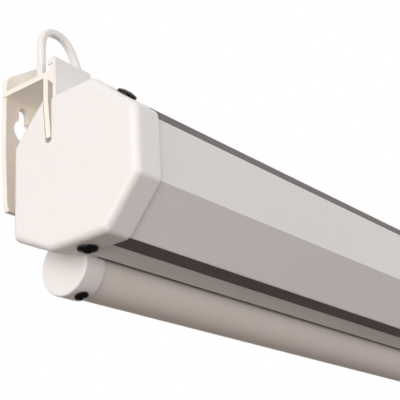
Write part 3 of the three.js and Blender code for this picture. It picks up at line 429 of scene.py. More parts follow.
def swept(bm, path, section):
    """Sweeps a section along a path that lies in a plane of one Y."""
    across = Vector((0, 1, 0))
    rings = []
    for i, place in enumerate(path):
        ahead = path[min(i + 1, len(path) - 1)]
        behind = path[max(i - 1, 0)]
        along = (ahead - behind).normalized()
        out = along.cross(across)
        rings.append([place + out * u + across * v for u, v in section])
    skinned(bm, rings)


def superellipse(half_width, half_depth, power, count):
    """A closed section. A power of 2 is an ellipse, and a higher one is squarer."""
    points = []
    for i in range(count):
        angle = math.tau * i / count
        c, s = math.cos(angle), math.sin(angle)
        points.append((
            half_width * math.copysign(abs(c) ** (2 / power), c),
            half_depth * math.copysign(abs(s) ** (2 / power), s),
        ))
    return points


def extruded_x(bm, outline, low, high, steps=1):
    """Extrudes an outline of (y, z) along X, in steps."""
    xs = [low + (high - low) * i / steps for i in range(steps + 1)]
    skinned(bm, [[Vector((x, y, z)) for y, z in outline] for x in xs])


def arc(centre_y, centre_z, radius, start, end, steps):
    """Points of (y, z) round a centre, between two angles in degrees."""
    angles = [math.radians(start + (end - start) * i / steps) for i in range(steps + 1)]
    return [(centre_y + radius * math.cos(a), centre_z + radius * math.sin(a)) for a in angles]


def open_ring(centre_y, centre_z, radius, wall, opening, steps):
    """The outline of a tube that has an opening of the given width along its top."""
    half = math.degrees(math.asin(opening / 2 / radius))
    start, end = 90 + half, 450 - half
    outer = arc(centre_y, centre_z, radius, start, end, steps)
    return outer + arc(centre_y, centre_z, radius - wall, end, start, steps)


def rows(low, high, count):
    """Evenly spaced values from low, without high."""
    return [low + (high - low) * i / count for i in range(count)]


def mirrored(piece, name):
    mesh = piece.data.copy()
    mesh.transform(Matrix.Scale(-1, 4, (1, 0, 0)))
    mesh.flip_normals()
    return linked(name, mesh)


def subtracted(piece, cutter):
    boolean = piece.modifiers.new("recess", "BOOLEAN")
    boolean.operation = "DIFFERENCE"
    boolean.solver = "EXACT"
    boolean.object = cutter
    applied(piece)
    bpy.data.objects.remove(cutter, do_unlink=True)
    return piece


def dressed(piece, body, material, slot, *nodes):
    """Gives a piece its finish and its body, and hides the nodes that it stands for."""
    piece.data.materials.clear()
    piece.data.materials.append(material)
    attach(piece, body)
    if nodes:
        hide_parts(*nodes)
    return piece


# Shader node groups

def node(tree, kind, **values):
    """A new node, with values for its inputs or else its settings."""
    made = tree.nodes.new(kind)
    for key, value in values.items():
        if key in made.inputs:
            made.inputs[key].default_value = value
        else:
            setattr(made, key, value)
    return made


def new_group(name, inputs, outputs):
    group = bpy.data.node_groups.new(name, "ShaderNodeTree")
    for label, kind, default in inputs:
        socket = group.interface.new_socket(name=label, in_out="INPUT", socket_type=kind)
        socket.default_value = default
    for label, kind in outputs:
        group.interface.new_socket(name=label, in_out="OUTPUT", socket_type=kind)
    return group, group.nodes.new("NodeGroupInput"), group.nodes.new("NodeGroupOutput")


def mixed(tree, factor, low, high):
    """A colour that goes from low to high with a factor. Low and high are sockets or colours."""
    mix = tree.nodes.new("ShaderNodeMix")
    mix.data_type = "RGBA"
    tree.links.new(factor, mix.inputs[0])
    for socket, value in ((mix.inputs[MIX_LOW], low), (mix.inputs[MIX_HIGH], high)):
        if isinstance(value, bpy.types.NodeSocket):
            tree.links.new(value, socket)
        else:
            socket.default_value = value
    return mix.outputs[MIX_RESULT]


def ranged(tree, value, low, high, to_low, to_high):
    """Maps low to high onto to_low to to_high. Each is a number or a socket."""
    rescale = node(tree, "ShaderNodeMapRange")
    tree.links.new(value, rescale.inputs["Value"])
    ends = {"From Min": low, "From Max": high, "To Min": to_low, "To Max": to_high}
    for key, number in ends.items():
        if isinstance(number, bpy.types.NodeSocket):
            tree.links.new(number, rescale.inputs[key])
        else:
            rescale.inputs[key].default_value = number
    return rescale.outputs["Result"]


def scaled_place(tree, stretch):
    """Object coordinates, stretched along each axis."""
    place = tree.nodes.new("ShaderNodeTexCoord")
    mapping = node(tree, "ShaderNodeMapping", Scale=stretch)
    tree.links.new(place.outputs["Object"], mapping.inputs["Vector"])
    return mapping.outputs["Vector"]


def noise(tree, vector, scale, detail=3.0, roughness=0.5):
    made = node(tree, "ShaderNodeTexNoise", Detail=detail, Roughness=roughness)
    tree.links.new(vector, made.inputs["Vector"])
    if isinstance(scale, bpy.types.NodeSocket):
        tree.links.new(scale, made.inputs["Scale"])
    else:
        made.inputs["Scale"].default_value = scale
    return made.outputs["Fac"]


def group_surface():
    """Fine grain and faint handling marks, for moulded and coated surfaces."""
    name = "surface grain"
    if name in bpy.data.node_groups:
        return bpy.data.node_groups[name]
    group, given, out = new_group(
        name,
        [
            ("Colour", "NodeSocketColor", (0.8, 0.8, 0.8, 1)),
            ("Grain Scale", "NodeSocketFloat", 2500.0),
            ("Roughness", "NodeSocketFloat", 0.45),
            ("Marks", "NodeSocketFloat", 0.04),
        ],
        [
            ("Colour", "NodeSocketColor"),
            ("Roughness", "NodeSocketFloat"),
            ("Height", "NodeSocketFloat"),
        ],
    )
    place = scaled_place(group, (1, 1, 1))
    grain = noise(group, place, given.outputs["Grain Scale"], detail=2.0)
    cloud = noise(group, place, **CLOUD)
    dust = noise(group, place, **DUST)
    mask = ranged(group, cloud, *CLOUD_MARKS, 0.0, given.outputs["Marks"])
    darker = node(group, "ShaderNodeHueSaturation", **MARK_TINT)
    group.links.new(given.outputs["Colour"], darker.inputs["Color"])
    tinted = mixed(group, mask, given.outputs["Colour"], darker.outputs["Color"])
    speck = ranged(group, dust, *DUST_SPECKS, 0.0, given.outputs["Marks"])
    group.links.new(mixed(group, speck, tinted, darker.outputs["Color"]), out.inputs["Colour"])
    spread = ranged(group, cloud, *CLOUD_MIDDLE, -ROUGHNESS_SPREAD, ROUGHNESS_SPREAD)
    rough = node(group, "ShaderNodeMath", operation="ADD")
    group.links.new(spread, rough.inputs[0])
    group.links.new(given.outputs["Roughness"], rough.inputs[1])
    group.links.new(rough.outputs[0], out.inputs["Roughness"])
    group.links.new(grain, out.inputs["Height"])
    return group


def group_drawn():
    """Fine lines along X, as an extruded or brushed surface has."""
    name = "drawn lines"
    if name in bpy.data.node_groups:
        return bpy.data.node_groups[name]
    group, given, out = new_group(
        name,
        [("Line Scale", "NodeSocketFloat", 900.0)],
        [("Lines", "NodeSocketFloat")],
    )
    place = scaled_place(group, LINE_STRETCH)
    lines = noise(group, place, given.outputs["Line Scale"], roughness=0.6)
    group.links.new(lines, out.inputs["Lines"])
    return group


def group_weave():
    """A plain weave of fine threads in the X and Z directions."""
    name = "fine weave"
    if name in bpy.data.node_groups:
        return bpy.data.node_groups[name]
    group, given, out = new_group(
        name,
        [("Thread Scale", "NodeSocketFloat", 900.0)],
        [("Height", "NodeSocketFloat"), ("Shade", "NodeSocketFloat")],
    )
    place = scaled_place(group, (1, 1, 1))
    heights = []
    for direction in ("X", "Z"):
        wave = node(group, "ShaderNodeTexWave", bands_direction=direction, wave_profile="SIN")
        wave.inputs["Distortion"].default_value = THREAD_WOBBLE
        group.links.new(place, wave.inputs["Vector"])
        group.links.new(given.outputs["Thread Scale"], wave.inputs["Scale"])
        heights.append(wave.outputs["Fac"])
    both = node(group, "ShaderNodeMath", operation="MULTIPLY")
    group.links.new(heights[0], both.inputs[0])
    group.links.new(heights[1], both.inputs[1])
    group.links.new(both.outputs[0], out.inputs["Height"])
    shade = ranged(group, noise(group, place, SHADE_SCALE), *CLOUD_MIDDLE, 0.0, WEAVE_SHADE)
    group.links.new(shade, out.inputs["Shade"])
    return group


def new_material(name):
    material = bpy.data.materials.new(name)
    material.use_nodes = True
    return material, material.node_tree, material.node_tree.nodes["Principled BSDF"]


def placed_group(tree, group, **values):
    made = tree.nodes.new("ShaderNodeGroup")
    made.node_tree = group
    for key, value in values.items():
        made.inputs[key.replace("_", " ")].default_value = value
    return made


def bumped(tree, shader, height, strength, distance):
    bump = node(tree, "ShaderNodeBump", Strength=strength, Distance=distance)
    tree.links.new(height, bump.inputs["Height"])
    tree.links.new(bump.outputs["Normal"], shader.inputs["Normal"])


def finish(key):
    """A moulded or coated finish: grain, faint marks and, where it is drawn, lines along X."""
    look = FINISHES[key]
    if look["name"] in bpy.data.materials:
        return bpy.data.materials[look["name"]]
    material, tree, shader = new_material(look["name"])
    surface = placed_group(
        tree, group_surface(), Colour=(*getattr(colours(), key), 1),
        Grain_Scale=look["grain"], Roughness=look["roughness"], Marks=look["marks"],
    )
    tree.links.new(surface.outputs["Colour"], shader.inputs["Base Color"])
    tree.links.new(surface.outputs["Roughness"], shader.inputs["Roughness"])
    height = surface.outputs["Height"]
    if "lines" in look:
        lines = placed_group(tree, group_drawn())
        total = node(tree, "ShaderNodeMath", operation="MULTIPLY_ADD")
        tree.links.new(lines.outputs["Lines"], total.inputs[0])
        total.inputs[1].default_value = look["lines"]
        tree.links.new(height, total.inputs[2])
        height = total.outputs[0]
    bumped(tree, shader, height, GRAIN_STRENGTH, look["depth"])
    shader.inputs["Metallic"].default_value = look.get("metallic", 0.0)
    shader.inputs["IOR"].default_value = look.get("ior", 1.5)
    return material


def screen_cloth():
    name = "projection fabric"
    if name in bpy.data.materials:
        return bpy.data.materials[name]
    material, tree, shader = new_material(name)
    weave = placed_group(tree, group_weave())
    white = (*colours().fabric, 1)
    shaded = (*(SHADED_CLOTH * part for part in colours().fabric), 1)
    tree.links.new(mixed(tree, weave.outputs["Shade"], white, shaded), shader.inputs["Base Color"])
    bumped(tree, shader, weave.outputs["Height"], **WEAVE_BUMP)
    shader.inputs["Roughness"].default_value = CLOTH_ROUGHNESS
    shader.inputs["Sheen Weight"].default_value = CLOTH_SHEEN
    return material


# Pieces

def screw_cutter(name, head_radius, head_height):
    """The tapered cross that is cut into a screw's head."""
    arm, reach = head_radius * CROSS_ARM, head_radius * CROSS_REACH
    cross = [
        (reach, -arm), (reach, arm), (arm, arm), (arm, reach), (-arm, reach), (-arm, arm),
        (-reach, arm), (-reach, -arm), (-arm, -arm), (-arm, -reach), (arm, -reach), (arm, -arm),
    ]
    foot, top = head_height * CROSS_FOOT, head_height * CROSS_TOP
    taper_x, taper_y = CROSS_FOOT_TAPER
    bm = bmesh.new()
    skinned(bm, [
        [Vector((x * taper_x, y * taper_y, foot)) for x, y in cross],
        [Vector((x * CROSS_TOP_SPREAD, y * CROSS_TOP_SPREAD, top)) for x, y in cross],
    ])
    return finished(bm, name)


def screw_piece(name, node_name, shape, out, body):
    """A pan-head screw with a cross recess, in the place of its node."""
    head_radius, head_height, shank_length = shape
    low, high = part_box(node_name)
    out = Vector(out).normalized()
    turn = Vector((0, 0, 1)).rotation_difference(out).to_matrix().to_4x4()
    dome = [
        (head_radius * math.cos(a), head_height * (HEAD_RIM + (1 - HEAD_RIM) * math.sin(a)))
        for a in rows(0, math.pi / 2, DOME_STEPS)
    ]
    shank_radius = head_radius * SHANK
    profile = [
        (0, -shank_length), (shank_radius, -shank_length), (shank_radius, 0),
        (head_radius * HEAD_FOOT, 0), (head_radius, head_height * HEAD_FOOT_RISE),
        *dome, (0, head_height),
    ]
    bm = bmesh.new()
    revolved(bm, profile, segments=40)
    piece = finished(bm, name, smooth_angle=50)
    subtracted(piece, screw_cutter(name + "_cutter", head_radius, head_height))
    piece.data.shade_smooth()
    piece.data.set_sharp_from_angle(angle=RECESS_CREASE)
    low_share, high_share = RECESS_HEIGHTS
    reach = head_radius * CROSS_REACH
    recess = [
        face.index for face in piece.data.polygons
        if low_share * head_height < face.center.z < high_share * head_height
        and face.center.xy.length < reach * RECESS_REACH
    ]

    turned = [turn @ vertex.co for vertex in piece.data.vertices]
    own_low = Vector([min(place[i] for place in turned) for i in range(3)])
    own_high = Vector([max(place[i] for place in turned) for i in range(3)])
    seat = (Vector(low) + Vector(high) - own_low - own_high) / 2
    piece.data.transform(Matrix.Translation(seat) @ turn)
    dressed(piece, body, finish("screw"), "black_screw", node_name)
    # The cross recess takes the lighter plated steel finish, a painted glint in each black screw.
    piece.data.materials.append(finish("steel"))
    for index in recess:
        piece.data.polygons[index].material_index = 1


class SCREEN_OT_case(bpy.types.Operator):
    """Dresses the painted case and its two dark strips, a painted reflection above and painted shade below,
    and builds the black strip of painted shade at the slot
    """

    bl_idname = "screen.case"
    bl_label = "Case"

    def paint_slot_shade(self):
        """Runs a thin black strip of painted shade along the front edge of the slot, where the gap is dark.
        """
        source = cad_mesh("case_profile")
        bottom = min(vertex.co.z for vertex in source.verts)
        lip = max(vertex.co.y for vertex in source.verts if vertex.co.z < bottom + LIP_BAND)
        source.free()
        radius = sizes().slot_shade_radius
        section = arc(lip, bottom + radius * SLOT_SHADE_RISE, radius, 0, 330, steps=11)
        bm = bmesh.new()
        extruded_x(bm, section, CAP_HIGH[0], -CAP_HIGH[0], steps=8)
        paint_slot_shade = finished(bm, "painted_slot_shadow", smooth_angle=50)
        dressed(paint_slot_shade, "housing", finish("inside"), "dark_trim")

    def line(self, case):
        """Gives the faces inside the profile a near-black finish, painted shade inside the case."""
        low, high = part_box("case_profile")
        middle = (Vector(low) + Vector(high)) / 2
        case.data.materials.append(finish("inside"))
        for face in case.data.polygons:
            normal, place = face.normal.yz, (face.center - middle).yz
            if abs(face.normal.x) < END_LEAN and normal.dot(place) < 0:
                face.material_index = 1

    def execute(self, context):
        size = sizes()
        case = softened("case_profile", "case_shell", size.case_edge, limit=20)
        dressed(case, "housing", finish("case"), "painted_case", "case_profile")
        self.line(case)
        self.paint_slot_shade()
        # The dark strips paint a dark reflection on the upper chamfer and the shade in the bottom groove.
        for name in ("upper_trim_strip", "lower_trim_strip"):
            strip = softened(name, name.replace("strip", "inlay"), size.strip_edge, segments=2)
            dressed(strip, "housing", finish("trim"), "dark_trim", name)
        return {"FINISHED"}


class SCREEN_OT_caps(bpy.types.Operator):
    """Dresses the moulded end caps with their lugs and slots"""

    bl_idname = "screen.caps"
    bl_label = "End caps"

    def execute(self, context):
        for side in SIDES:
            name = f"{side}_end_cap"
            cap = softened(name, f"{side}_cap_moulding", sizes().moulded_edge, limit=38)
            dressed(cap, "housing", finish("cap"), "cap_plastic", name)
        return {"FINISHED"}


class SCREEN_OT_brackets(bpy.types.Operator):
    """Dresses the wall brackets and builds the smooth stretch of their hoops"""

    bl_idname = "screen.brackets"
    bl_label = "Wall brackets"

    def hoop(self, y):
        """Sweeps the left hoop's rounded section from one foot over the arch to the other."""
        size = sizes()
        top = BRACKET_HIGH[2] - size.hoop_wire
        left = -HALF_LENGTH + size.hoop_inset
        right = left + size.hoop_span
        peak = left + size.hoop_peak
        foot = BRACKET_HIGH[2] - size.hoop_foot
        knee = top - size.hoop_rise
        low_knee = foot + size.hoop_knee
        shoulder = knee + size.hoop_rise * HOOP_SHOULDER
        crown, arm = size.hoop_rise * HOOP_CROWN, size.hoop_rise * HOOP_ARM

        def curve(points, count):
            return interpolate_bezier(*(Vector((x, y, z)) for x, z in points), count)

        steep = curve([(left, knee), (left, shoulder), (peak - crown, top), (peak, top)], count=18)
        lean = (right - size.hoop_lean, low_knee + arm)
        long_arm = curve([(peak, top), (peak + arm, top), lean, (right, low_knee)], count=24)
        up = [Vector((left, y, z)) for z in rows(foot, knee, count=4)]
        down = [Vector((right, y, z)) for z in reversed(rows(foot, low_knee, count=3))]
        section = superellipse(size.hoop_wire, size.hoop_depth, power=2.7, count=24)
        bm = bmesh.new()
        swept(bm, up + steep + long_arm[1:] + down, section)
        return finished(bm, "left_hoop", smooth_angle=50)

    def execute(self, context):
        size = sizes()
        middle_y = BRACKET_LOW[1] + size.hoop_back
        start = BRACKET_HIGH[2] - size.hoop_foot + size.hoop_start

        def kept(face):
            middle = face.calc_center_median()
            return middle.z <= start or abs(middle.y - middle_y) >= size.hoop_zone

        for side in SIDES:
            name = f"{side}_wall_bracket"
            body = softened(name, f"{side}_bracket_moulding", size.moulded_edge, limit=38, keep=kept)
            # The tan bracket finish paints the shade; the hoops below take the white cap finish.
            dressed(body, "housing", finish("bracket"), "bracket_plastic", name)
        left = self.hoop(middle_y)
        right = mirrored(left, "right_hoop")
        for piece in (left, right):
            dressed(piece, "housing", finish("cap"), "bracket_plastic")
        return {"FINISHED"}


class SCREEN_OT_screws(bpy.types.Operator):
    """Builds the black cross-head screws of the caps, the bar and the saddle"""

    bl_idname = "screen.screws"
    bl_label = "Visible screws"

    def execute(self, context):
        size = sizes()
        large = (size.cap_head, size.cap_head_height, size.cap_shank)
        small = (size.small_head, size.small_head_height, size.small_shank)
        down = (0, 0, -1)
        ring_out = (0, math.cos(RING_SCREW_ANGLE), math.sin(RING_SCREW_ANGLE))
        for side in SIDES:
            for name, node_name, shape, out, body in (
                ("upper_screw", "cap_upper_screw", large, CHAMFER_OUT, "housing"),
                ("lower_screw", "cap_lower_screw", large, down, "housing"),
                ("ring_screw", "bar_cap_screw", small, ring_out, "weight_bar"),
                ("under_screw", "saddle_screw", small, down, "weight_bar"),
            ):
                screw_piece(f"{side}_{name}", f"{side}_{node_name}", shape, out, body)
        return {"FINISHED"}


class SCREEN_OT_bar(bpy.types.Operator):
    """Builds the weight bar's tube and its two end caps"""

    bl_idname = "screen.bar"
    bl_label = "Weight bar"

    def tube(self, radius):
        size = sizes()
        outline = open_ring(BAR_Y, BAR_Z, radius, size.bar_wall, size.bar_slit, steps=88)
        bm = bmesh.new()
        extruded_x(bm, outline, TUBE_LOW[0], TUBE_HIGH[0], steps=8)
        tube = finished(bm, "bar_tube_skin", smooth_angle=40)
        dressed(tube, "weight_bar", finish("bar"), "painted_bar", "bar_tube")

    def ends(self, radius):
        """Turns the left cap's profile round the bar's axis, and mirrors it for the right one."""
        size = sizes()
        cap_radius = (BAR_CAP_HIGH[1] - BAR_CAP_LOW[1]) / 2
        cap_length = BAR_CAP_HIGH[0] - BAR_CAP_LOW[0]
        rim, lip = size.bar_round, size.bar_cap_lip
        sleeve = radius + size.bar_cap_play
        profile = [(0, 0), (cap_radius / 2, 0), (cap_radius - rim * DISH_START, size.bar_cap_dish)]
        profile += [
            (cap_radius - rim + rim * math.sin(angle), rim - rim * math.cos(angle))
            for angle in (math.pi / 2 * i / RIM_STEPS for i in range(RIM_STEPS + 1))
        ]
        profile += [
            (cap_radius, cap_length - lip), (cap_radius - lip, cap_length),
            (sleeve, cap_length), (sleeve, size.bar_cap_floor), (0, size.bar_cap_floor),
        ]
        turn = Matrix.Translation((BAR_CAP_LOW[0], BAR_Y, BAR_Z)) @ Matrix.Rotation(math.pi / 2, 4, "Y")
        bm = bmesh.new()
        revolved(bm, profile, segments=72, matrix=turn)
        left = finished(bm, "left_bar_end", smooth_angle=40)
        right = mirrored(left, "right_bar_end")
        dressed(left, "weight_bar", finish("cap"), "cap_plastic", "left_bar_cap")
        dressed(right, "weight_bar", finish("cap"), "cap_plastic", "right_bar_cap")

    def execute(self, context):
        radius = (TUBE_HIGH[1] - TUBE_LOW[1]) / 2
        self.tube(radius)
        self.ends(radius)
        return {"FINISHED"}


class SCREEN_OT_handle(bpy.types.Operator):
    """Builds the pull handle and dresses its saddle"""

    bl_idname = "screen.handle"
    bl_label = "Pull handle"

    def path(self, eye_x):
        """The wire's middle line, smooth through its bends, from the left eye to the right one."""
        size = sizes()
        wire, bend = size.grip_wire, size.grip_bend
        half_width = GRIP_HIGH[0] - wire
        drop = PIVOT_Z - GRIP_LOW[2] - wire
        shoulder_x = (half_width + eye_x) / 2
        points = [
            (eye_x, -size.grip_neck), (eye_x, -bend), (shoulder_x, -size.grip_elbow),
            (half_width, -(drop + bend) / 2), (half_width - wire, wire - drop), (shoulder_x, -drop),
        ]
        route = [Vector((-x, PIVOT_Y, PIVOT_Z + z)) for x, z in points]
        route += [Vector((x, PIVOT_Y, PIVOT_Z + z)) for x, z in reversed(points)]
        path = []
        for i in range(len(route) - 1):
            before = route[max(i - 1, 0)]
            start, end = route[i], route[i + 1]
            after = route[min(i + 2, len(route) - 1)]
            first = start + (end - before) / WIRE_EASE
            second = end - (after - start) / WIRE_EASE
            path += interpolate_bezier(start, first, second, end, WIRE_STEPS)[:-1]
        return path + [route[-1]]

    def execute(self, context):
        size = sizes()
        saddle = softened("handle_saddle", "saddle_moulding", size.saddle_edge, segments=2, limit=40)
        dressed(saddle, "weight_bar", finish("cap"), "cap_plastic", "handle_saddle")
        eye_x = SADDLE_END - size.grip_inset
        section = superellipse(size.grip_wire, size.grip_wire, power=2.0, count=20)
        bm = bmesh.new()
        swept(bm, self.path(eye_x), section)
        length, radius, rim = size.eye_length, size.eye_radius, size.eye_rim
        profile = [
            (0, 0), (radius - rim, 0), (radius, rim),
            (radius, length - rim), (radius - rim, length), (0, length),
        ]
        for middle in (-eye_x, eye_x):
            place = Matrix.Translation((middle - length / 2, PIVOT_Y, PIVOT_Z))
            revolved(bm, profile, segments=32, matrix=place @ Matrix.Rotation(math.pi / 2, 4, "Y"))
        grip = finished(bm, "handle_grip", smooth_angle=50)
        dressed(grip, "pull_handle", finish("cap"), "cap_plastic", "pull_handle")
        return {"FINISHED"}


class SCREEN_OT_fabric(bpy.types.Operator):
    """Builds the wound fabric, the stretch that hangs to the bar, and the hem"""

    bl_idname = "screen.fabric"
    bl_label = "Fabric"

    def roll(self):
        size = sizes()
        inner = (CORE_HIGH[1] - CORE_LOW[1]) / 2 + ROLL_PLAY
        outer = (ROLL_HIGH[1] - ROLL_LOW[1]) / 2
        thick = size.cloth_thickness * WOUND_THICKNESS
        count = size.wound_turns * TURN_STEPS
        spread = (outer - inner - thick) / size.wound_turns
        middles = [
            (math.tau * i / TURN_STEPS, inner + thick / 2 + spread * i / TURN_STEPS)
            for i in range(count + 1)
        ]
        sides = [
            [
                (ROLL_Y + (r + away) * math.cos(a), ROLL_Z + (r + away) * math.sin(a))
                for a, r in middles
            ]
            for away in (thick / 2, -thick / 2)
        ]
        bm = bmesh.new()
        ends = [
            [[bm.verts.new((x, y, z)) for y, z in row] for row in sides]
            for x in (ROLL_LOW[0], ROLL_HIGH[0])
        ]
        for i in range(count):
            j = i + 1
            for row in (0, 1):
                bm.faces.new((ends[0][row][i], ends[0][row][j], ends[1][row][j], ends[1][row][i]))
            for end in ends:
                bm.faces.new((end[0][i], end[0][j], end[1][j], end[1][i]))
        for i in (0, count):
            bm.faces.new((ends[0][0][i], ends[1][0][i], ends[1][1][i], ends[0][1][i]))
        piece = finished(bm, "wound_fabric", smooth_angle=40)
        dressed(piece, "roller", screen_cloth(), "screen_fabric", "fabric_roll")

    def drop(self):
        thick = sizes().cloth_thickness
        middle = (DROP_LOW[1] + DROP_HIGH[1]) / 2
        height = DROP_HIGH[2] - DROP_LOW[2]
        steps = 24
        outline = [(middle - thick / 2, DROP_LOW[2] + height * i / steps) for i in range(steps + 1)]
        outline += [(middle + thick / 2, DROP_HIGH[2] - height * i / steps) for i in range(steps + 1)]
        bm = bmesh.new()
        extruded_x(bm, outline, DROP_LOW[0], DROP_HIGH[0], steps=40)
        piece = finished(bm, "hanging_fabric", smooth_angle=60)
        piece.data.materials.append(screen_cloth())
        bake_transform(piece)
        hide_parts("fabric_drop")

    def hem(self):
        thick = sizes().cloth_thickness
        middle = (HEM_LOW[1] + HEM_HIGH[1]) / 2
        rod_z = (ROD_LOW[2] + ROD_HIGH[2]) / 2
        radius = (HEM_HIGH[1] - HEM_LOW[1]) / 2
        top = HEM_HIGH[2]
        loop = open_ring(middle, rod_z, radius, wall=thick, opening=thick, steps=36)
        tail_foot = rod_z + radius - thick / 2
        tail = [
            (middle - thick / 2, tail_foot), (middle + thick / 2, tail_foot),
            (middle + thick / 2, top), (middle - thick / 2, top),
        ]
        bm = bmesh.new()
        for outline in (loop, tail):
            extruded_x(bm, outline, HEM_LOW[0], HEM_HIGH[0])
        piece = finished(bm, "hem_loop", smooth_angle=40)
        dressed(piece, "weight_bar", screen_cloth(), "screen_fabric", "fabric_hem")

    def execute(self, context):
        self.roll()
        self.drop()
        self.hem()
        return {"FINISHED"}


class SCREEN_OT_works(bpy.types.Operator):
    """Dresses the steel and grey plastic pieces that are carried over from the frame"""

    bl_idname = "screen.works"
    bl_label = "Inner works"

    def execute(self, context):
        finishes = {"bare_steel": finish("steel"), "grey_plastic": finish("grey")}
        for entry in frame["record"]["subparts"]:
            if entry["material_slot"] in finishes:
                carried = frame["nodes"][entry["node"]]
                carried.data.materials.clear()
                carried.data.materials.append(finishes[entry["material_slot"]])
        return {"FINISHED"}


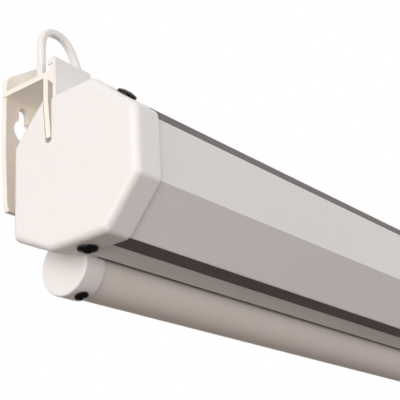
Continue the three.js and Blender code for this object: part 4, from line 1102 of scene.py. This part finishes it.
class SCREEN_OT_stage(bpy.types.Operator):
    """Makes the pale floor, the soft light and the photograph's camera"""

    bl_idname = "screen.stage"
    bl_label = "Stage"

    def camera(self):
        data = bpy.data.cameras.new("photo_camera")
        data.sensor_width = SENSOR_MM
        data.lens = CAMERA_FOCAL_PX / IMAGE_PX * SENSOR_MM
        data.clip_start = NEAR_CLIP
        camera = bpy.data.objects.new("photo_camera", data)
        ahead = Vector((
            math.sin(CAMERA_YAW) * math.cos(CAMERA_PITCH),
            math.cos(CAMERA_YAW) * math.cos(CAMERA_PITCH),
            math.sin(CAMERA_PITCH),
        ))
        level = Vector((math.cos(CAMERA_YAW), -math.sin(CAMERA_YAW), 0))
        upright = level.cross(ahead)
        across = math.cos(CAMERA_ROLL) * level + math.sin(CAMERA_ROLL) * upright
        up = -math.sin(CAMERA_ROLL) * level + math.cos(CAMERA_ROLL) * upright
        turn = Matrix((across, up, -ahead)).transposed().to_4x4()
        camera.matrix_world = Matrix.Translation(CAMERA_PLACE) @ turn
        bpy.context.scene.collection.objects.link(camera)
        bpy.context.scene.camera = camera

    def lamp(self, name, place, target, size, watts, colour):
        data = bpy.data.lights.new(name, "AREA")
        data.shape = "SQUARE"
        data.size = size
        data.energy = watts
        data.color = colour
        lamp = bpy.data.objects.new(name, data)
        lamp.location = place
        lamp.rotation_mode = "QUATERNION"
        lamp.rotation_quaternion = (Vector(target) - Vector(place)).to_track_quat("-Z", "Y")
        bpy.context.scene.collection.objects.link(lamp)

    def world(self):
        """Even light, brighter from above. The camera, gloss and clear pieces see white there."""
        light = bpy.context.scene.screen_light
        world = bpy.data.worlds.new("studio")
        world.use_nodes = True
        bpy.context.scene.world = world
        tree = world.node_tree
        background = tree.nodes["Background"]
        place = tree.nodes.new("ShaderNodeTexCoord")
        split = tree.nodes.new("ShaderNodeSeparateXYZ")
        tree.links.new(place.outputs["Generated"], split.inputs[0])
        height = ranged(tree, split.outputs["Z"], *HORIZON, 0.0, 1.0)
        sky = (light.sky, light.sky, light.sky, 1)
        ground = (*(light.ground * tint for tint in GROUND_TINT), 1)
        even = mixed(tree, height, ground, sky)
        path = tree.nodes.new("ShaderNodeLightPath")
        seen = path.outputs["Is Camera Ray"]
        for kind in ("Is Glossy Ray", "Is Transmission Ray"):
            either = node(tree, "ShaderNodeMath", operation="MAXIMUM")
            tree.links.new(seen, either.inputs[0])
            tree.links.new(path.outputs[kind], either.inputs[1])
            seen = either.outputs[0]
        tree.links.new(mixed(tree, seen, even, WHITE), background.inputs["Color"])

    def floor(self):
        """A pale floor that keeps the object's shadow and throws back little light."""
        bm = bmesh.new()
        bmesh.ops.create_grid(bm, x_segments=2, y_segments=2, size=FLOOR_HALF)
        floor = finished(bm, "pale_floor")
        floor.location = (0, 0, FLOOR_HEIGHT)
        material, tree, shader = new_material("pale floor")
        shader.inputs["Base Color"].default_value = FLOOR_BOUNCE
        shader.inputs["Roughness"].default_value = FLOOR_ROUGHNESS
        pale = node(tree, "ShaderNodeBsdfDiffuse", Color=FLOOR_SEEN)
        glow = node(tree, "ShaderNodeEmission", Strength=FLOOR_GLOW)
        seen = tree.nodes.new("ShaderNodeAddShader")
        tree.links.new(pale.outputs[0], seen.inputs[0])
        tree.links.new(glow.outputs[0], seen.inputs[1])
        path = tree.nodes.new("ShaderNodeLightPath")
        blend = tree.nodes.new("ShaderNodeMixShader")
        tree.links.new(path.outputs["Is Camera Ray"], blend.inputs[0])
        tree.links.new(shader.outputs[0], blend.inputs[1])
        tree.links.new(seen.outputs[0], blend.inputs[2])
        tree.links.new(blend.outputs[0], tree.nodes["Material Output"].inputs["Surface"])
        floor.data.materials.append(material)

    def execute(self, context):
        context.scene.view_settings.view_transform = "Standard"
        self.camera()
        self.world()
        self.floor()
        for name, (place, target, width, watts, colour) in LAMPS.items():
            level = getattr(context.scene.screen_light, name)
            self.lamp(f"{name}_light", place, target, width, watts * level, colour)
        return {"FINISHED"}


class SCREEN_PT_panel(bpy.types.Panel):
    """Lists the operators and the sizes, colours and levels"""

    bl_label = "Projector screen"
    bl_idname = "SCREEN_PT_panel"
    bl_space_type = "VIEW_3D"
    bl_region_type = "UI"
    bl_category = "Screen"

    def draw(self, context):
        layout = self.layout
        for step in STEPS:
            layout.operator(step.bl_idname)
        scene = context.scene
        for settings in (scene.screen_sizes, scene.screen_colours, scene.screen_light):
            box = layout.box()
            for name in settings.__annotations__:
                box.prop(settings, name)


STEPS = (
    SCREEN_OT_case,
    SCREEN_OT_caps,
    SCREEN_OT_brackets,
    SCREEN_OT_screws,
    SCREEN_OT_bar,
    SCREEN_OT_handle,
    SCREEN_OT_fabric,
    SCREEN_OT_works,
    SCREEN_OT_stage,
)
SETTINGS = (ScreenSizes, ScreenColours, ScreenLight)


def register():
    for kind in SETTINGS + STEPS + (SCREEN_PT_panel,):
        bpy.utils.register_class(kind)
    bpy.types.Scene.screen_sizes = bpy.props.PointerProperty(type=ScreenSizes)
    bpy.types.Scene.screen_colours = bpy.props.PointerProperty(type=ScreenColours)
    bpy.types.Scene.screen_light = bpy.props.PointerProperty(type=ScreenLight)


def unregister():
    del bpy.types.Scene.screen_sizes
    del bpy.types.Scene.screen_colours
    del bpy.types.Scene.screen_light
    for kind in reversed(SETTINGS + STEPS + (SCREEN_PT_panel,)):
        bpy.utils.unregister_class(kind)


def main():
    register()
    bpy.ops.screen.case()
    bpy.ops.screen.caps()
    bpy.ops.screen.brackets()
    bpy.ops.screen.screws()
    bpy.ops.screen.bar()
    bpy.ops.screen.handle()
    bpy.ops.screen.fabric()
    bpy.ops.screen.works()
    bpy.ops.screen.stage()
    bpy.context.view_layer.update()


if __name__ == "__main__":
    main()
